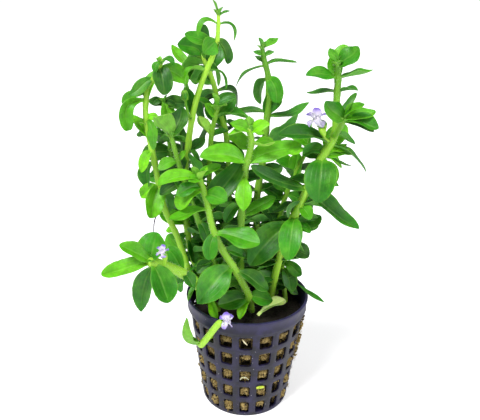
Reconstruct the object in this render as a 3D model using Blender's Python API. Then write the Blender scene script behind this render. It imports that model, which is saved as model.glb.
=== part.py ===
"""A potted aquarium plant, bacopa crenata: leafy stems rooted in a plug of rockwool, in a black net pot.

The origin is the centre of the pot's underside, +Z is up and the plant is seen from -Y.
Lengths are in millimetres, and MM turns them into Blender's metres where a mesh is made.
"""
import math

import bpy
import numpy as np

MM = 0.001
GAP = 0.3

# The net pot: a tapered cup of 5 cm with a lip, and a grid of square holes.
POT_HEIGHT = 50.0
RIM_RADIUS = 26.0
LIP_HEIGHT = 5.8
WALL_TOP_RADIUS = 24.6
BASE_RADIUS = 19.0
WALL = 1.2
FLOOR = 1.5
HOLE_COLUMNS = 18
HOLE_ROWS = 5
FIRST_HOLE = 1.8
HOLE_HEIGHT = 6.0
ROW_PITCH = 8.7
RIB_WIDTH = 2.9
SLOT_FROM, SLOT_TO = 7.0, 15.5

# The rockwool fills the pot to a few millimetres below its rim, and the stems stand in it.
WOOL_TOP = 43.0
WOOL_CROWN = 0.3
ROOT_DEPTH = 5.0

# Leaves. A leaf of at least OWN_NODE in length is a node of its own, and one below YOUNG has just unfolded.
# The rows are where a leaf's outline has its points, as shares of its length.
LEAF_THICKNESS = 0.9
BASE_SHARE = 0.28
CUP = math.radians(15)
OWN_NODE = 12.5
YOUNG = 6.5
LONG_ROWS = (0.0, 0.2, 0.52, 0.84)
SHORT_ROWS = (0.0, 0.4, 0.8)
YOUNG_ROWS = (0.0, 0.55)

# Each stem's route from the rockwool to its tip, and its thickness at the foot and at the tip.
STEMS = {
    "tall": ([(-12, 8, 43), (-19, 7, 52), (-24, 6, 62), (-26, 6, 74), (-27, 5, 89), (-26, 4, 104),
              (-23, 1, 124), (-19, 0, 138), (-14, 0, 150), (-13, 0, 158), (-13, 0, 163)], 2.8, 1.0),
    "leaning": ([(-1, 13, 43), (-5, 14, 57), (-8, 14, 75), (-10, 13, 112), (-13, 12, 125),
                 (-16, 10, 138), (-20, 8, 147)], 2.3, 1.7),
    "back": ([(-6, 11, 43), (-13, 14, 60), (-17, 12, 90), (-16, 5, 115), (-13, 1, 129)], 2.5, 1.6),
    "arching": ([(-17, 4, 43), (-23.5, 0, 56), (-26.5, -2, 66), (-29.5, -3, 77), (-34, -5, 90),
                 (-37, -5, 108), (-40, -3, 125), (-39, -2, 135), (-36, -2, 140), (-33, -4, 146)], 2.6, 1.5),
    "inner": ([(-7, 2, 43), (-14, -2, 65), (-20, -6, 84), (-26, -8, 104), (-30, -9, 120)], 2.5, 1.7),
    "dark": ([(-12, 13, 43), (-20, 15, 60), (-28, 15, 80), (-34, 16, 108), (-36, 14, 129)], 2.1, 1.2),
    "front": ([(2, -4, 43), (1, -9, 52), (-1.5, -11, 59), (-6, -14, 69), (-9.5, -16, 76),
               (-13.5, -18, 86), (-16, -17, 97), (-19, -17, 107)], 3.0, 2.1),
    "middle": ([(-2, 5, 43), (-3, -3, 68), (-3, -9, 90), (-2, -12, 107), (0, -13, 118),
                (-1, -13, 124)], 2.9, 2.0),
    "second": ([(7, 10, 43), (4, 8, 66), (3, 9, 88), (5, 8, 108), (6, 8, 124), (6, 7, 138),
                (4, 6, 146), (3, 6, 151)], 3.0, 1.4),
    "right": ([(10, 4, 43), (12.5, -1, 64), (16, -4, 81), (21, -6, 96), (26, -6, 110), (31, -5, 120),
               (31, -4, 130), (31, -3, 140), (30, -5, 147)], 3.3, 2.2),
    "fork": ([(31, -7.6, 121), (32, -10, 124), (33, -12, 128)], 2.2, 1.8),
    "slim": ([(13, 12, 43), (12, 10, 66), (13, 8, 82), (16, 7, 95), (23, 6, 113)], 2.4, 1.6),
    "low": ([(17, 5, 43), (16, 8, 50), (15, 6, 57), (15, 4, 62)], 2.3, 1.6),
    "trailing": ([(-13, -4, 43), (-17, -10, 53), (-19, -15, 60), (-21, -21, 66), (-25, -28, 73),
                  (-30, -33, 78), (-35, -36, 81)], 4.0, 3.2),
}

# Each stem's leaves: the height where it leaves the stem, its tip as seen from there, its width,
# its arch upwards as a share of its length, and its roll in degrees about its own length.
LEAVES = {
    "tall": [
        (162.8, (-2, -1, 4), 1.6, 0.0, 0), (161, (-1.5, -1, 2), 1.8, 0.1, 15),
        (161, (4, 1, 2), 2, 0.1, 15), (158.5, (-7, -4, -4), 2.6, 0.42, -30),
        (158.5, (5.5, 3, -6), 2.4, 0.4, 0), (153, (-4.5, -4, -4.5), 7.5, 0.05, -75),
        (153, (4, 1.5, -8.5), 6, 0.1, 65), (146, (2.5, 4, -10), 3.5, 0.1, 30),
        (142, (-7.5, -4, -6), 5, 0.42, 15), (142, (7, 3, -7), 4.5, 0.35, 0),
        (89, (5, -4, -9), 6, 0.1, 15), (74, (-5, -3, -6), 5, 0.1, -30),
    ],
    "leaning": [
        (140, (-15.5, 6.5, 10), 5, -0.1, -45), (146, (-9, -4, 5), 8.5, 0.15, -75),
        (145, (-5.5, 1, -2.5), 6.5, 0.2, 60), (145, (3.5, 4, 3), 5, 0.0, 30),
        (144, (-6, -2.5, -9.5), 8, 0.4, 30), (142, (-4.5, -2.5, -6), 7, 0.2, 45),
        (133, (-4, -2.5, -10), 6.5, 0.35, 45), (133, (8, 3, -8.8), 6.5, 0.42, 20),
        (112, (6, -3, -8), 6, 0.1, 15), (90, (-4, -5, -8), 6, 0.1, -30), (120, (3, 8, -3), 6, 0.1, 0),
        (100, (-4, 8, -3), 6.5, 0.1, 0), (80, (2, 9, -2), 7, 0.1, 0), (62, (-4, 9, -2), 7, 0.1, 0),
        (146, (0.5, 2, 12), 5, 0.0, 15), (72, (6.5, -3, 3.5), 7, 0.0, 60),
    ],
    "back": [
        (128.6, (-2, -2, 5.5), 5, 0.0, -30), (128, (7, 0, 4.5), 5, 0.05, 30),
        (127, (2, -5.5, 3), 6.5, 0.1, 0), (125, (-7.5, 1.5, 6.5), 5, 0.05, -15), (125, (13, -1, -0.5), 6, 0.1, 15),
        (116, (-4.5, -4, 9), 6, -0.05, 30), (116, (6, 5, 2), 5, 0.0, 15), (102, (7, -2, -6), 6, 0.1, 15),
        (100, (-4, 6, 3), 5, 0.1, -30), (90, (-5, -5, -7), 6, 0.1, -15), (75, (6, -4, -7), 6, 0.1, 15),
        (68, (-8, -3, 3), 8, 0.0, -60),
    ],
    "arching": [
        (145.5, (-2, -2, -4), 3, 0.25, -30), (145.7, (4, 1, -2), 2.6, 0.4, 60),
        (139, (-9, -3, -5.5), 5, 0.0, -60), (143, (2.5, -5, -9), 8, 0.15, 15),
        (143, (10, 4, -6), 7.5, 0.1, 75), (131, (-6, -5, -10.5), 6.5, 0.38, -75),
        (122, (-5, -2, 1), 3.5, 0.1, -30), (119, (-5, 2, -1), 3, 0.0, -45),
        (124, (3, -4.5, -10.5), 5, 0.3, 60), (112, (-3.5, -5, -7), 5, 0.15, -30),
        (108, (-3.5, 1.5, -11), 7, 0.15, -80), (98, (-2.5, -7, -10.5), 10, 0.1, -45),
        (98, (-8, 2, -5), 6, 0.1, -75), (97, (2.5, 3.5, -11), 6, 0.13, -20),
    ],
    "inner": [
        (119, (-4.5, -5, 8), 10, 0.02, 40), (119, (3.5, 4, 10.5), 9, -0.1, 30),
        (109, (-7, -4, -2), 5, 0.15, -45), (109, (2.5, 3, 4), 3, 0.0, 15), (96, (7, 1, -5), 6, 0.1, 15),
        (96, (-6, -2, 7), 6, 0.0, -30), (84, (5, -5, -8), 6, 0.1, 15), (65, (-7, -5, -3), 6, 0.1, -45),
        (73, (8, -2, 3), 7, 0.0, 60),
    ],
    "dark": [
        (127, (-4, -2, 0), 2.5, 0.2, -45), (127, (5, -1, -1), 3, 0.2, 60),
        (128, (7, 5, 0), 3.5, 0.1, 0), (110, (6, 2, -8), 6, 0.1, 15), (108, (4, 2, 9), 6, 0.0, -30),
        (92, (7, 2, 6), 7, 0.1, 30), (80, (-6, 4, -6), 6, 0.1, -30), (118, (-3, 6, -3), 5, 0.1, 0),
        (70, (-3, 8, 2), 6, 0.1, 0),
    ],
    "front": [
        (106.4, (8, 2, 4), 5, 0.0, 45), (106.6, (-2, -2, 4), 3, 0.0, 30),
        (105, (-14.5, -5, -1), 7.5, 0.15, -30), (102, (-9, -6, -1), 6, 0.1, -30),
        (99, (8.5, -5, 0), 8, 0.06, 55), (105, (-5, 8, 8), 6, 0.0, 15),
        (101, (-8.5, -4, -6.5), 8, 0.25, -30), (94, (-13.5, -8, -1.5), 7, 0.0, -10),
        (94, (12, 7, 17), 10, 0.0, 30), (84, (17, -5, -1), 10, 0.02, 30),
        (84, (-2, -4, -9), 7, 0.15, -30), (77, (9, 6, -6), 6.5, 0.05, 45),
        (69, (-13, -11, -11), 13, 0.06, -45), (66, (13, -3, -6), 8, 0.02, 30),
        (51, (-13, -5, 0), 10, 0.05, -40), (52, (9.5, -3, 1), 7.5, 0.05, 45),
        (50, (-4, -8, -4), 5, 0.1, 15),
    ],
    "middle": [
        (123.4, (0, -1, 5), 4.5, 0.0, 0), (123, (-7, -2, 3), 5.5, 0.0, -60),
        (122, (-8, -4, 0), 5, 0.1, -15), (122, (7, -3, 4), 5.5, 0.1, 60), (118, (8, 2, 1), 4, 0.0, 15),
        (111, (-17, -6, 3), 10, 0.1, -40), (111, (20, 4, 6), 9, 0.05, 40),
        (105, (0, -10, -10), 7, 0.16, 15), (88, (13, 2, 7.5), 7.5, 0.0, 30),
        (93, (-6, -4, -6), 6, 0.2, -45), (80, (3, 1, -8), 6, 0.1, 15), (68, (-7, -5, -6), 7, 0.1, -30),
        (75, (8, -3, 0), 7.5, 0.0, 60),
    ],
    "second": [
        (150, (-1.5, -1, 4), 3, 0.0, 0), (150, (6, 1, 4), 4, -0.05, 45),
        (144.5, (-4, 1, 2.5), 2.5, 0.0, -30), (147, (-4, -2, 2), 3, 0.0, -45), (147, (4, -1, 2), 3, 0.0, 45),
        (144, (-11, -2, -8), 4, 0.15, 10), (144, (12, 2, 1), 3.5, 0.08, 0),
        (139, (-2.5, 3.5, -10.5), 5.5, 0.3, 0), (139, (3.5, -5, -8.5), 6.5, 0.2, 45),
        (126, (-17, 1, -2), 6, 0.03, -15), (124.5, (16.5, 3, 5), 7, -0.12, 15),
        (112, (12.5, -4, 14), 10.5, -0.12, -35), (88, (8, -3, -8), 8, 0.1, 30),
        (84, (-7, -4, -8), 7, 0.1, -30), (68, (8, -5, -5), 8, 0.1, 30), (64, (-8, -4, -3), 7, 0.1, -30),
        (106, (-5, 8, 2), 6, 0.1, 0), (95, (4, 8, -3), 7, 0.1, 0), (76, (-3, 9, -3), 7, 0.1, 0),
        (100, (9, 3, 3), 7, 0.0, 45),
    ],
    "right": [
        (145, (6, -3, 7.5), 8.5, -0.05, 60), (146.4, (-3, 1, 5), 4, 0.0, -75),
        (141, (-12, -4, 1), 7, 0.08, -30), (141, (13, 2, 3), 6, -0.02, 0),
        (136, (-11, 3, -1), 5, 0.0, 0), (136, (7, -3, 1), 4, 0.08, 0),
        (121, (8.5, 2, -4.5), 5, 0.0, 30), (117, (-20, -6, 4.5), 8.5, 0.06, -30),
        (117, (15.5, 4, -12), 5.5, 0.1, 10), (111, (-1, -10, -14), 13, 0.2, 0),
        (111, (-6, 6, 2), 6, 0.1, -60), (112, (9, 2, 1), 5.5, 0.0, 30), (110, (7, 2, -6), 5, 0.0, 30),
        (112, (12, 3, -4), 3, 0.0, 0), (99, (-22, -8, 11), 8.5, -0.06, -30),
        (99, (20.5, -5, -14), 10, -0.06, 35), (84, (12, 4, 2), 8, -0.08, 40),
        (92, (4, -5, -4), 6, 0.1, 30), (84, (-16, -9, -15), 13, 0.08, -45),
        (87, (-2.5, -13, -13), 9.5, 0.15, 0), (70, (5, 8, 3), 7, 0.0, 0),
    ],
    "fork": [
        (127.2, (-7.5, -5, 7.5), 8.5, -0.05, -75), (127.8, (4, 2, 9), 6, 0.0, 0),
        (127, (11, -1, 4), 6.5, 0.0, 30), (126.6, (12, -5, -1), 7.5, 0.08, 30),
        (127.8, (6, -4, 6), 4.5, 0.1, 45),
    ],
    "slim": [
        (100, (1, 2, 10), 7, 0.0, 15), (112, (-7, -3, -2), 4, 0.0, -15),
        (112, (1, 1, 10), 4.5, 0.0, -30), (82, (8, 3, -6), 7, 0.1, 30), (66, (7, 4, -6), 7, 0.1, 30),
        (74, (-6, 3, 6), 6, 0.0, -30), (92, (-7, 1, 7), 6, 0.0, -30), (98, (4, 8, -3), 6, 0.1, 0),
        (73, (4, 8, 3), 6, 0.0, 0),
    ],
    "low": [
        (61.6, (8, -4, -3), 6, 0.1, 60), (59, (4, -7, -8), 7, 0.15, 15), (61.6, (8, 4, 6), 4, 0.0, -30),
        (59, (-9, 2, 2), 6, 0.1, -30), (54.5, (16.5, -16, -3.5), 3, 0.0, 0),
    ],
    "trailing": [
        (80.8, (-16, -4, -3.5), 7.5, 0.0, -40), (80.6, (-10, -2, 7), 7, 0.02, -40),
        (80.6, (2, 4, 9.5), 11, 0.0, 20), (79.6, (-7, 4, -22.5), 9, 0.08, -110),
        (80, (6, -6, -12.5), 12, 0.04, 15), (72, (5, -3, -5), 6, 0.1, 15),
        (72, (-6, 5, 8), 8, 0.1, -45), (66, (-7.5, 3, -4.5), 5, 0.1, -30), (60, (-5, 3, -8.5), 5.5, 0.1, -30),
    ],
}

# A shoot through the hole at the front left, as the stems above, and its leaf: tip, width, arch and roll.
SIDE_SHOOT = ([(-10, -12, 36), (-15.4, -18.4, 38.6), (-18.4, -21.4, 37.5)], 1.9, 2.2)
SIDE_LEAF = (np.array([-4.5, -3, 13.5]), 5.5, -0.32, 30)

# The old leaf that lies on the rockwool: base, then as the leaves above.
OLD_LEAF = (np.array([4.8, -10.5, 44.6]), np.array([11.6, 9.5, 2.4]), 6, 0.06, 20)

# The flowers: route of the stalk to the throat, thickness of stalk and calyx, petals and their length.
# The petals spread this far in front of the calyx, and NOTCH is how deep the star is cut between them.
PETAL_LIFT = 1.6
PETAL_THICKNESS = 0.6
NOTCH = 0.55
FLOWERS = {
    "flower_right": ([(27, -7.2, 119.5), (26, -8.5, 122), (24.5, -9, 125.5), (23, -10, 127.5)],
                     1.2, 3.0, 5, 4.5),
    "flower_trailing": ([(-29.2, -36.8, 80), (-28.6, -38, 83), (-29.3, -38.5, 85.5)], 1.0, 2.6, 3, 2.0),
    "flower_side": ([(-17.4, -23.2, 38.6), (-14, -25.6, 45), (-11.6, -27.8, 50.6), (-9.6, -28.8, 52)],
                    2.0, 2.4, 5, 4.0),
    "bud_tall": ([(-23.6, -1.6, 125), (-24.9, -1.4, 129), (-25.3, -1, 132), (-25.5, -1, 134)],
                 0.9, 2.8, 0, 0),
}

COLOURS = {
    "leaf": ((0.05, 0.24, 0.02), 0.45),
    "old_leaf": ((0.45, 0.75, 0.12), 0.5),
    "stem": ((0.28, 0.55, 0.04), 0.45),
    "flower": ((0.42, 0.34, 0.68), 0.6),
    "net_pot": ((0.03, 0.03, 0.05), 0.45),
    "rockwool": ((0.36, 0.24, 0.08), 0.95),
}


def clear_scene():
    for item in list(bpy.data.objects):
        bpy.data.objects.remove(item, do_unlink=True)


def material(name):
    found = bpy.data.materials.get(name)
    if found:
        return found
    made = bpy.data.materials.new(name)
    made.use_nodes = True
    colour, roughness = COLOURS[name]
    shader = made.node_tree.nodes["Principled BSDF"]
    shader.inputs["Base Color"].default_value = (*colour, 1)
    shader.inputs["Roughness"].default_value = roughness
    shader.inputs["Metallic"].default_value = 0
    return made


def solid(name, points, faces, finish):
    """An object from points in millimetres and its faces."""
    mesh = bpy.data.meshes.new(name)
    mesh.from_pydata([tuple(np.asarray(point) * MM) for point in points], [], faces)
    mesh.materials.append(material(finish))
    mesh.update()
    made = bpy.data.objects.new(name, mesh)
    bpy.context.scene.collection.objects.link(made)
    return made


def combine(item, others, operation):
    """Unites the others with the item, or cuts them out of it, and removes them."""
    for other in others:
        step = item.modifiers.new(other.name, "BOOLEAN")
        step.operation = operation
        step.object = other
        step.solver = "EXACT"
    graph = bpy.context.evaluated_depsgraph_get()
    item.data = bpy.data.meshes.new_from_object(item.evaluated_get(graph))
    item.modifiers.clear()
    for other in others:
        bpy.data.objects.remove(other, do_unlink=True)
    return item


def rings_to_faces(rings):
    """Faces of a closed skin over rings of equal size, ring after ring. A last ring of one point is a tip."""
    faces, start = [], 0
    size = len(rings[0])
    for below, above in zip(rings, rings[1:]):
        for k in range(size):
            a, b = start + k, start + (k + 1) % size
            if len(above) == 1:
                faces.append((a, b, start + size))
            else:
                faces.append((a, b, b + size, a + size))
        start += size
    faces.append(tuple(range(size - 1, -1, -1)))
    if len(rings[-1]) > 1:
        faces.append(tuple(range(start, start + size)))
    return faces


def unit(vector):
    return vector / np.linalg.norm(vector)


def smooth_route(route, spans=2):
    """Points along a smooth curve through the route's own points, with as many spans between two of them."""
    points = np.array(route, float)
    ends = np.vstack([2 * points[0] - points[1], points, 2 * points[-1] - points[-2]])
    curve = []
    for a, b, c, d in zip(ends, ends[1:], ends[2:], ends[3:]):
        for t in np.arange(spans) / spans:
            curve.append(0.5 * (2 * b + (c - a) * t + (2 * a - 5 * b + 4 * c - d) * t ** 2
                                + (3 * b - a - 3 * c + d) * t ** 3))
    curve.append(points[-1])
    return np.array(curve)


def tube_rings(curve, radii, sides=6):
    """Rings of points around a curve, each turned as little as possible from the one before."""
    rings = []
    across = np.array([1.0, 0.0, 0.0])
    for k, (centre, radius) in enumerate(zip(curve, radii)):
        along = unit(curve[min(k + 1, len(curve) - 1)] - curve[max(k - 1, 0)])
        across = unit(across - across @ along * along)
        other = np.cross(along, across)
        turns = [2 * math.pi * side / sides for side in range(sides)]
        rings.append([centre + radius * (math.cos(turn) * across + math.sin(turn) * other)
                      for turn in turns])
    return rings


def tube(name, curve, radii, finish, sides=6):
    rings = tube_rings(curve, radii, sides)
    return solid(name, sum(rings, []), rings_to_faces(rings), finish)


def half_width(share):
    """The outline: a clasping base, widest a little past the middle, broadly rounded at the tip."""
    return max(math.sin(math.pi * share ** 1.1) ** 0.55, BASE_SHARE if share < 0.1 else 0.0)


def leaf_frame(reach):
    """The leaf's upper side and its right-hand side, for a leaf without roll."""
    along = unit(reach)
    upper = np.array([0.0, 0.0, 1.0])
    upper = unit(upper - upper @ along * along)
    return upper, np.cross(upper, along)


def leaf(name, base, reach, width, arch, roll, finish="leaf"):
    """One leaf from its base: an arched blade, cupped if long, thick at the midrib and thin at the edge."""
    length = np.linalg.norm(reach)
    upper, right = leaf_frame(reach)
    turn = math.radians(roll)
    rings = []
    for share in LONG_ROWS if length >= OWN_NODE else SHORT_ROWS if length >= YOUNG else YOUNG_ROWS:
        centre = base + reach * share + upper * (4 * arch * length * share * (1 - share))
        along = unit(reach + upper * (4 * arch * length * (1 - 2 * share)))
        normal = unit(np.cross(along, right))
        side = math.cos(turn) * right + math.sin(turn) * normal
        top = math.cos(turn) * normal - math.sin(turn) * right
        half = width / 2 * half_width(share)
        edge = side * half * math.cos(CUP)
        lift = top * half * math.sin(CUP)
        thick = top * LEAF_THICKNESS / 2
        if length >= OWN_NODE:
            rings.append([centre - edge + lift, centre - thick, centre + edge + lift, centre + thick])
        else:
            rings.append([centre - edge + thick, centre - thick, centre + edge + thick])
    rings.append([base + reach])
    return solid(name, sum(rings, []), rings_to_faces(rings), finish)


def stem_at(curve, height):
    """Where the stem's middle line is at a height, and its direction there."""
    k = int(np.clip(np.searchsorted(curve[:, 2], height), 1, len(curve) - 1))
    low, high = curve[k - 1], curve[k]
    share = min((height - low[2]) / (high[2] - low[2]), 1.0)
    return low + share * (high - low), unit(high - low), (k - 1 + share) / (len(curve) - 1)


def stem_radius(foot, tip, share):
    """A stem keeps most of its thickness until it thins towards its tip."""
    return (foot + (tip - foot) * share ** 3) / 2


def make_stem(name):
    """One stem with its short leaves grown together with it, and its long leaves as nodes beside it."""
    route, foot, tip = STEMS[name]
    curve = smooth_route(route)
    line = np.array(route, float)
    radii = [stem_radius(foot, tip, k / (len(line) - 1)) for k in range(len(line))]
    if route[0][2] == WOOL_TOP:
        line = np.vstack([line[0] - (0, 0, ROOT_DEPTH), line])
        radii.insert(0, radii[0])
    stem = tube(f"stem_{name}", line, radii, "stem", sides=5)
    grown, number = [], 0
    for height, reach, width, arch, roll in LEAVES[name]:
        reach = np.array(reach, float)
        axis, along, share = stem_at(curve, height)
        if np.linalg.norm(reach) < OWN_NODE:
            grown.append(leaf("grown", axis, reach, width, arch, roll))
            continue
        number += 1
        outward = unit(reach - reach @ along * along)
        clear = outward * (stem_radius(foot, tip, share) + GAP + LEAF_THICKNESS / 2)
        leaf(f"leaf_{name}_{number}", axis + clear, reach - clear, width, arch, roll)
    return combine(stem, grown, "UNION")


def pot_radius(height):
    """The pot's outer radius at a height below the lip."""
    share = height / (POT_HEIGHT - LIP_HEIGHT)
    return BASE_RADIUS + share * (WALL_TOP_RADIUS - BASE_RADIUS)


def pot_ring(radius, height):
    """Both edges of every column of holes at one height: pairs of points, from the front round."""
    points = []
    for column in range(HOLE_COLUMNS):
        middle = 2 * math.pi * column / HOLE_COLUMNS - math.pi / 2
        half = math.pi / HOLE_COLUMNS - RIB_WIDTH / (2 * radius)
        for angle in (middle - half, middle + half):
            points.append((radius * math.cos(angle), radius * math.sin(angle), height))
    return points


def hole_levels():
    """Heights of the holes' lower and upper edges, from the floor to the lip."""
    levels = [0.0]
    for row in range(HOLE_ROWS):
        bottom = FIRST_HOLE + row * ROW_PITCH
        levels += [bottom, bottom + HOLE_HEIGHT]
    return levels + [POT_HEIGHT - LIP_HEIGHT]


def slot_ring(radius, height):
    """A ring of the floor, with its points straight inside those of the wall's lowest ring."""
    share = radius / BASE_RADIUS
    return [(x * share, y * share, height) for x, y, _ in pot_ring(BASE_RADIUS, height)]


def make_net_pot():
    """The pot as one skin: up its wall, over the lip, down inside, over the floor, and through every hole."""
    count = 2 * HOLE_COLUMNS
    levels = hole_levels()
    rings = [pot_ring(pot_radius(level), level) for level in levels]
    lip = POT_HEIGHT - LIP_HEIGHT
    rings.append(pot_ring(RIM_RADIUS, lip + 0.4))
    rings.append(pot_ring(RIM_RADIUS, POT_HEIGHT))
    rings.append(pot_ring(RIM_RADIUS - WALL, POT_HEIGHT))
    inner = [max(level, FLOOR) for level in levels]
    rings += [pot_ring(pot_radius(level) - WALL, level) for level in reversed(inner)]
    rings.append(slot_ring(SLOT_TO, FLOOR))
    rings.append(slot_ring(SLOT_FROM, FLOOR))
    rings.append(slot_ring(SLOT_FROM, 0))
    rings.append(slot_ring(SLOT_TO, 0))
    first_inner = len(levels) + 3
    slots_up = first_inner + len(levels)
    points = sum(rings, [])
    faces = []

    def strip(low, high, is_open):
        for k in range(count):
            if not is_open(k):
                a, b = k, (k + 1) % count
                faces.append((low * count + a, low * count + b, high * count + b, high * count + a))

    def in_hole(k):
        return k % 2 == 0

    def in_slot(k):
        return k % 4 == 0

    for low in range(first_inner + len(levels) - 1):
        band = low if low < first_inner else first_inner + len(levels) - 2 - low
        strip(low, low + 1, in_hole if band % 2 == 1 and band < len(levels) - 1 else lambda k: False)
    strip(slots_up - 1, slots_up, lambda k: False)
    strip(slots_up, slots_up + 1, in_slot)
    strip(slots_up + 2, slots_up + 3, in_slot)
    strip(slots_up + 3, 0, lambda k: False)
    faces.append(tuple((slots_up + 1) * count + k for k in range(count)))
    faces.append(tuple((slots_up + 2) * count + k for k in reversed(range(count))))

    def tunnel(near_low, near_high, far_low, far_high, k):
        """The four walls of a hole through the skin, between its edges outside and inside."""
        a, b = k, (k + 1) % count
        outside = [near_low * count + a, near_low * count + b, near_high * count + b, near_high * count + a]
        inside = [far_low * count + a, far_low * count + b, far_high * count + b, far_high * count + a]
        for i in range(4):
            j = (i + 1) % 4
            faces.append((outside[i], outside[j], inside[j], inside[i]))

    for row in range(HOLE_ROWS):
        low = 1 + 2 * row
        opposite = first_inner + len(levels) - 1 - low
        for k in range(0, count, 2):
            tunnel(low, low + 1, opposite, opposite - 1, k)
    for k in range(0, count, 4):
        tunnel(slots_up + 2, slots_up + 3, slots_up + 1, slots_up, k)
    return solid("net_pot", points, faces, "net_pot")


def make_rockwool():
    """A plug a little smaller than the pot's inside, with a low crown and a socket for each stem's foot."""
    sides = 20
    rings = []
    for share in (0.0, 0.5, 1.0):
        height = FLOOR + GAP + share * (WOOL_TOP - WOOL_CROWN - FLOOR - GAP)
        radius = pot_radius(height) - WALL - GAP
        rings.append([(radius * math.cos(2 * math.pi * k / sides), radius * math.sin(2 * math.pi * k / sides),
                       height) for k in range(sides)])
    crown = [(x * 0.8, y * 0.8, WOOL_TOP) for x, y, _ in rings[-1]]
    rings.append(crown)
    plug = solid("rockwool_plug", sum(rings, []), rings_to_faces(rings), "rockwool")
    sockets = []
    for route, foot, _ in list(STEMS.values()) + [SIDE_SHOOT]:
        curve = smooth_route(route)
        if route[0][2] == WOOL_TOP:
            curve = np.vstack([curve[0] - (0, 0, ROOT_DEPTH + GAP), curve[0], curve[2]])
        elif route is SIDE_SHOOT[0]:
            curve = np.vstack([curve[0] - GAP * unit(curve[2] - curve[0]), curve[2]])
        else:
            continue
        sockets.append(tube("socket", curve, [foot / 2 + GAP] * len(curve), "rockwool", sides=5))
    return combine(plug, sockets, "DIFFERENCE")


def make_side_shoot():
    """A pale shoot that has grown out through a hole of the pot and carries one leaf."""
    route, foot, tip = SIDE_SHOOT
    curve = smooth_route(route)
    shoot = tube("shoot_side", curve, np.linspace(foot / 2, tip / 2, len(curve)), "stem", sides=5)
    blade = leaf("grown", curve[-1], *SIDE_LEAF)
    return combine(shoot, [blade], "UNION")


def make_flower(name, route, pedicel, calyx, petals, petal_length):
    """A flower on its stalk, which swells into the calyx; a star of petals spreads from the throat."""
    line = np.array(route, float)
    sides = 2 * max(petals, 3)
    radii = [pedicel / 2] * (len(line) - 2) + [calyx / 2, calyx / 2.6]
    rings = tube_rings(line, radii, sides)
    facing = unit(line[-1] - line[-2])
    centre = np.mean(rings[-1], axis=0)
    if petals:
        throat = calyx / 4
        for spread, lift in ((1, PETAL_LIFT), (1, PETAL_LIFT + PETAL_THICKNESS), (0, PETAL_THICKNESS)):
            star = []
            for k, point in enumerate(rings[len(line) - 1]):
                outward = unit(point - centre)
                reach = petal_length * (NOTCH if k % 2 else 1)
                star.append(centre + outward * (reach if spread else throat) + lift * facing)
            rings.append(star)
    else:
        rings.append([centre + facing])
    finish = "flower" if petals else "stem"
    return solid(name, sum(rings, []), rings_to_faces(rings), finish)


def main():
    clear_scene()
    make_net_pot()
    make_rockwool()
    for name in STEMS:
        make_stem(name)
    make_side_shoot()
    leaf("leaf_old", *OLD_LEAF, "old_leaf")
    for name, (route, pedicel, calyx, petals, petal_length) in FLOWERS.items():
        make_flower(name, route, pedicel, calyx, petals, petal_length)


main()
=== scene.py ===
"""A potted bacopa crenata, an aquarium plant: leafy stems rooted in a plug of rockwool, in a black net pot.

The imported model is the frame. Lengths here are in millimetres in the frame's axes, and MM turns them into
metres where a mesh is made. The plant is put together from the pot upwards, one section for each piece.
"""
import math

import bmesh
import bpy
import numpy as np
from mathutils import Matrix, Vector, noise


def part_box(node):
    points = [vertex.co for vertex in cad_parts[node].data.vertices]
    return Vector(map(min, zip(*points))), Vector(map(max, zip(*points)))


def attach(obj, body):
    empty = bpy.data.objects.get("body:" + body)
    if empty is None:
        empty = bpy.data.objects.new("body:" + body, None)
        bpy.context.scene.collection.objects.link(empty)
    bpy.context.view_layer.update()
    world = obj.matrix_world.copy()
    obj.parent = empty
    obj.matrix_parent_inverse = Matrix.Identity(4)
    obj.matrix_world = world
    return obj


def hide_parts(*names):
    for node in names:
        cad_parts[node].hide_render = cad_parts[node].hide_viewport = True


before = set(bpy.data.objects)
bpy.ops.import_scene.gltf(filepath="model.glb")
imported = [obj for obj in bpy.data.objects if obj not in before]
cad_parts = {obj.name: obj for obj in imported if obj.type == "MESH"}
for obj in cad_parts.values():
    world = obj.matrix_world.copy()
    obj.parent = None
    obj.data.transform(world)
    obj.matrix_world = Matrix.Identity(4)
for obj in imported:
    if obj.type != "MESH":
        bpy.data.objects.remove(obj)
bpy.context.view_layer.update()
MM = 0.001

# Net pot. A grower's 5 cm pot, moulded in one piece from polypropylene coloured with carbon black: a tapered
# lattice of ribs and rings with slightly rounded edges, a thick lip, and a flat floor with nine slots.
POT_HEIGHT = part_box("net_pot")[1].z / MM
RIM_RADIUS = 26.0
LIP_HEIGHT = 5.8
WALL_TOP_RADIUS = 24.6
BASE_RADIUS = 19.0
WALL = 1.2
FLOOR = 1.5
COLUMNS, ROWS = 18, 5
FIRST_HOLE, HOLE_HEIGHT, ROW_PITCH, RIB_WIDTH = 1.8, 6.0, 8.7, 2.9
SLOT_FROM, SLOT_TO = 7.0, 15.5
EDGE = 0.22  # rounding of every hole's edge
STEPS = 6  # points along each side of a hole
LIP_FOOT = POT_HEIGHT - LIP_HEIGHT
LIP_SECTION = [(WALL_TOP_RADIUS, 0), (25.0, -0.05), (25.35, 0.1), (25.52, 0.5), (25.5, 1.2), (25.42, 2.2),
               (25.55, 3.4), (25.85, 4.7), (RIM_RADIUS, 5.3), (25.93, 5.66), (25.7, 5.8), (25.2, 5.8),
               (24.95, 5.7), (24.8, 5.4), (24.2, 2.4), (WALL_TOP_RADIUS - WALL, 0)]


def linear(colour):
    """An sRGB hex colour as linear red, green, blue and alpha."""
    parts = [int(colour[k:k + 2], 16) / 255 for k in (1, 3, 5)]
    return (*[p / 12.92 if p <= 0.04045 else ((p + 0.055) / 1.055) ** 2.4 for p in parts], 1.0)


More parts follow.
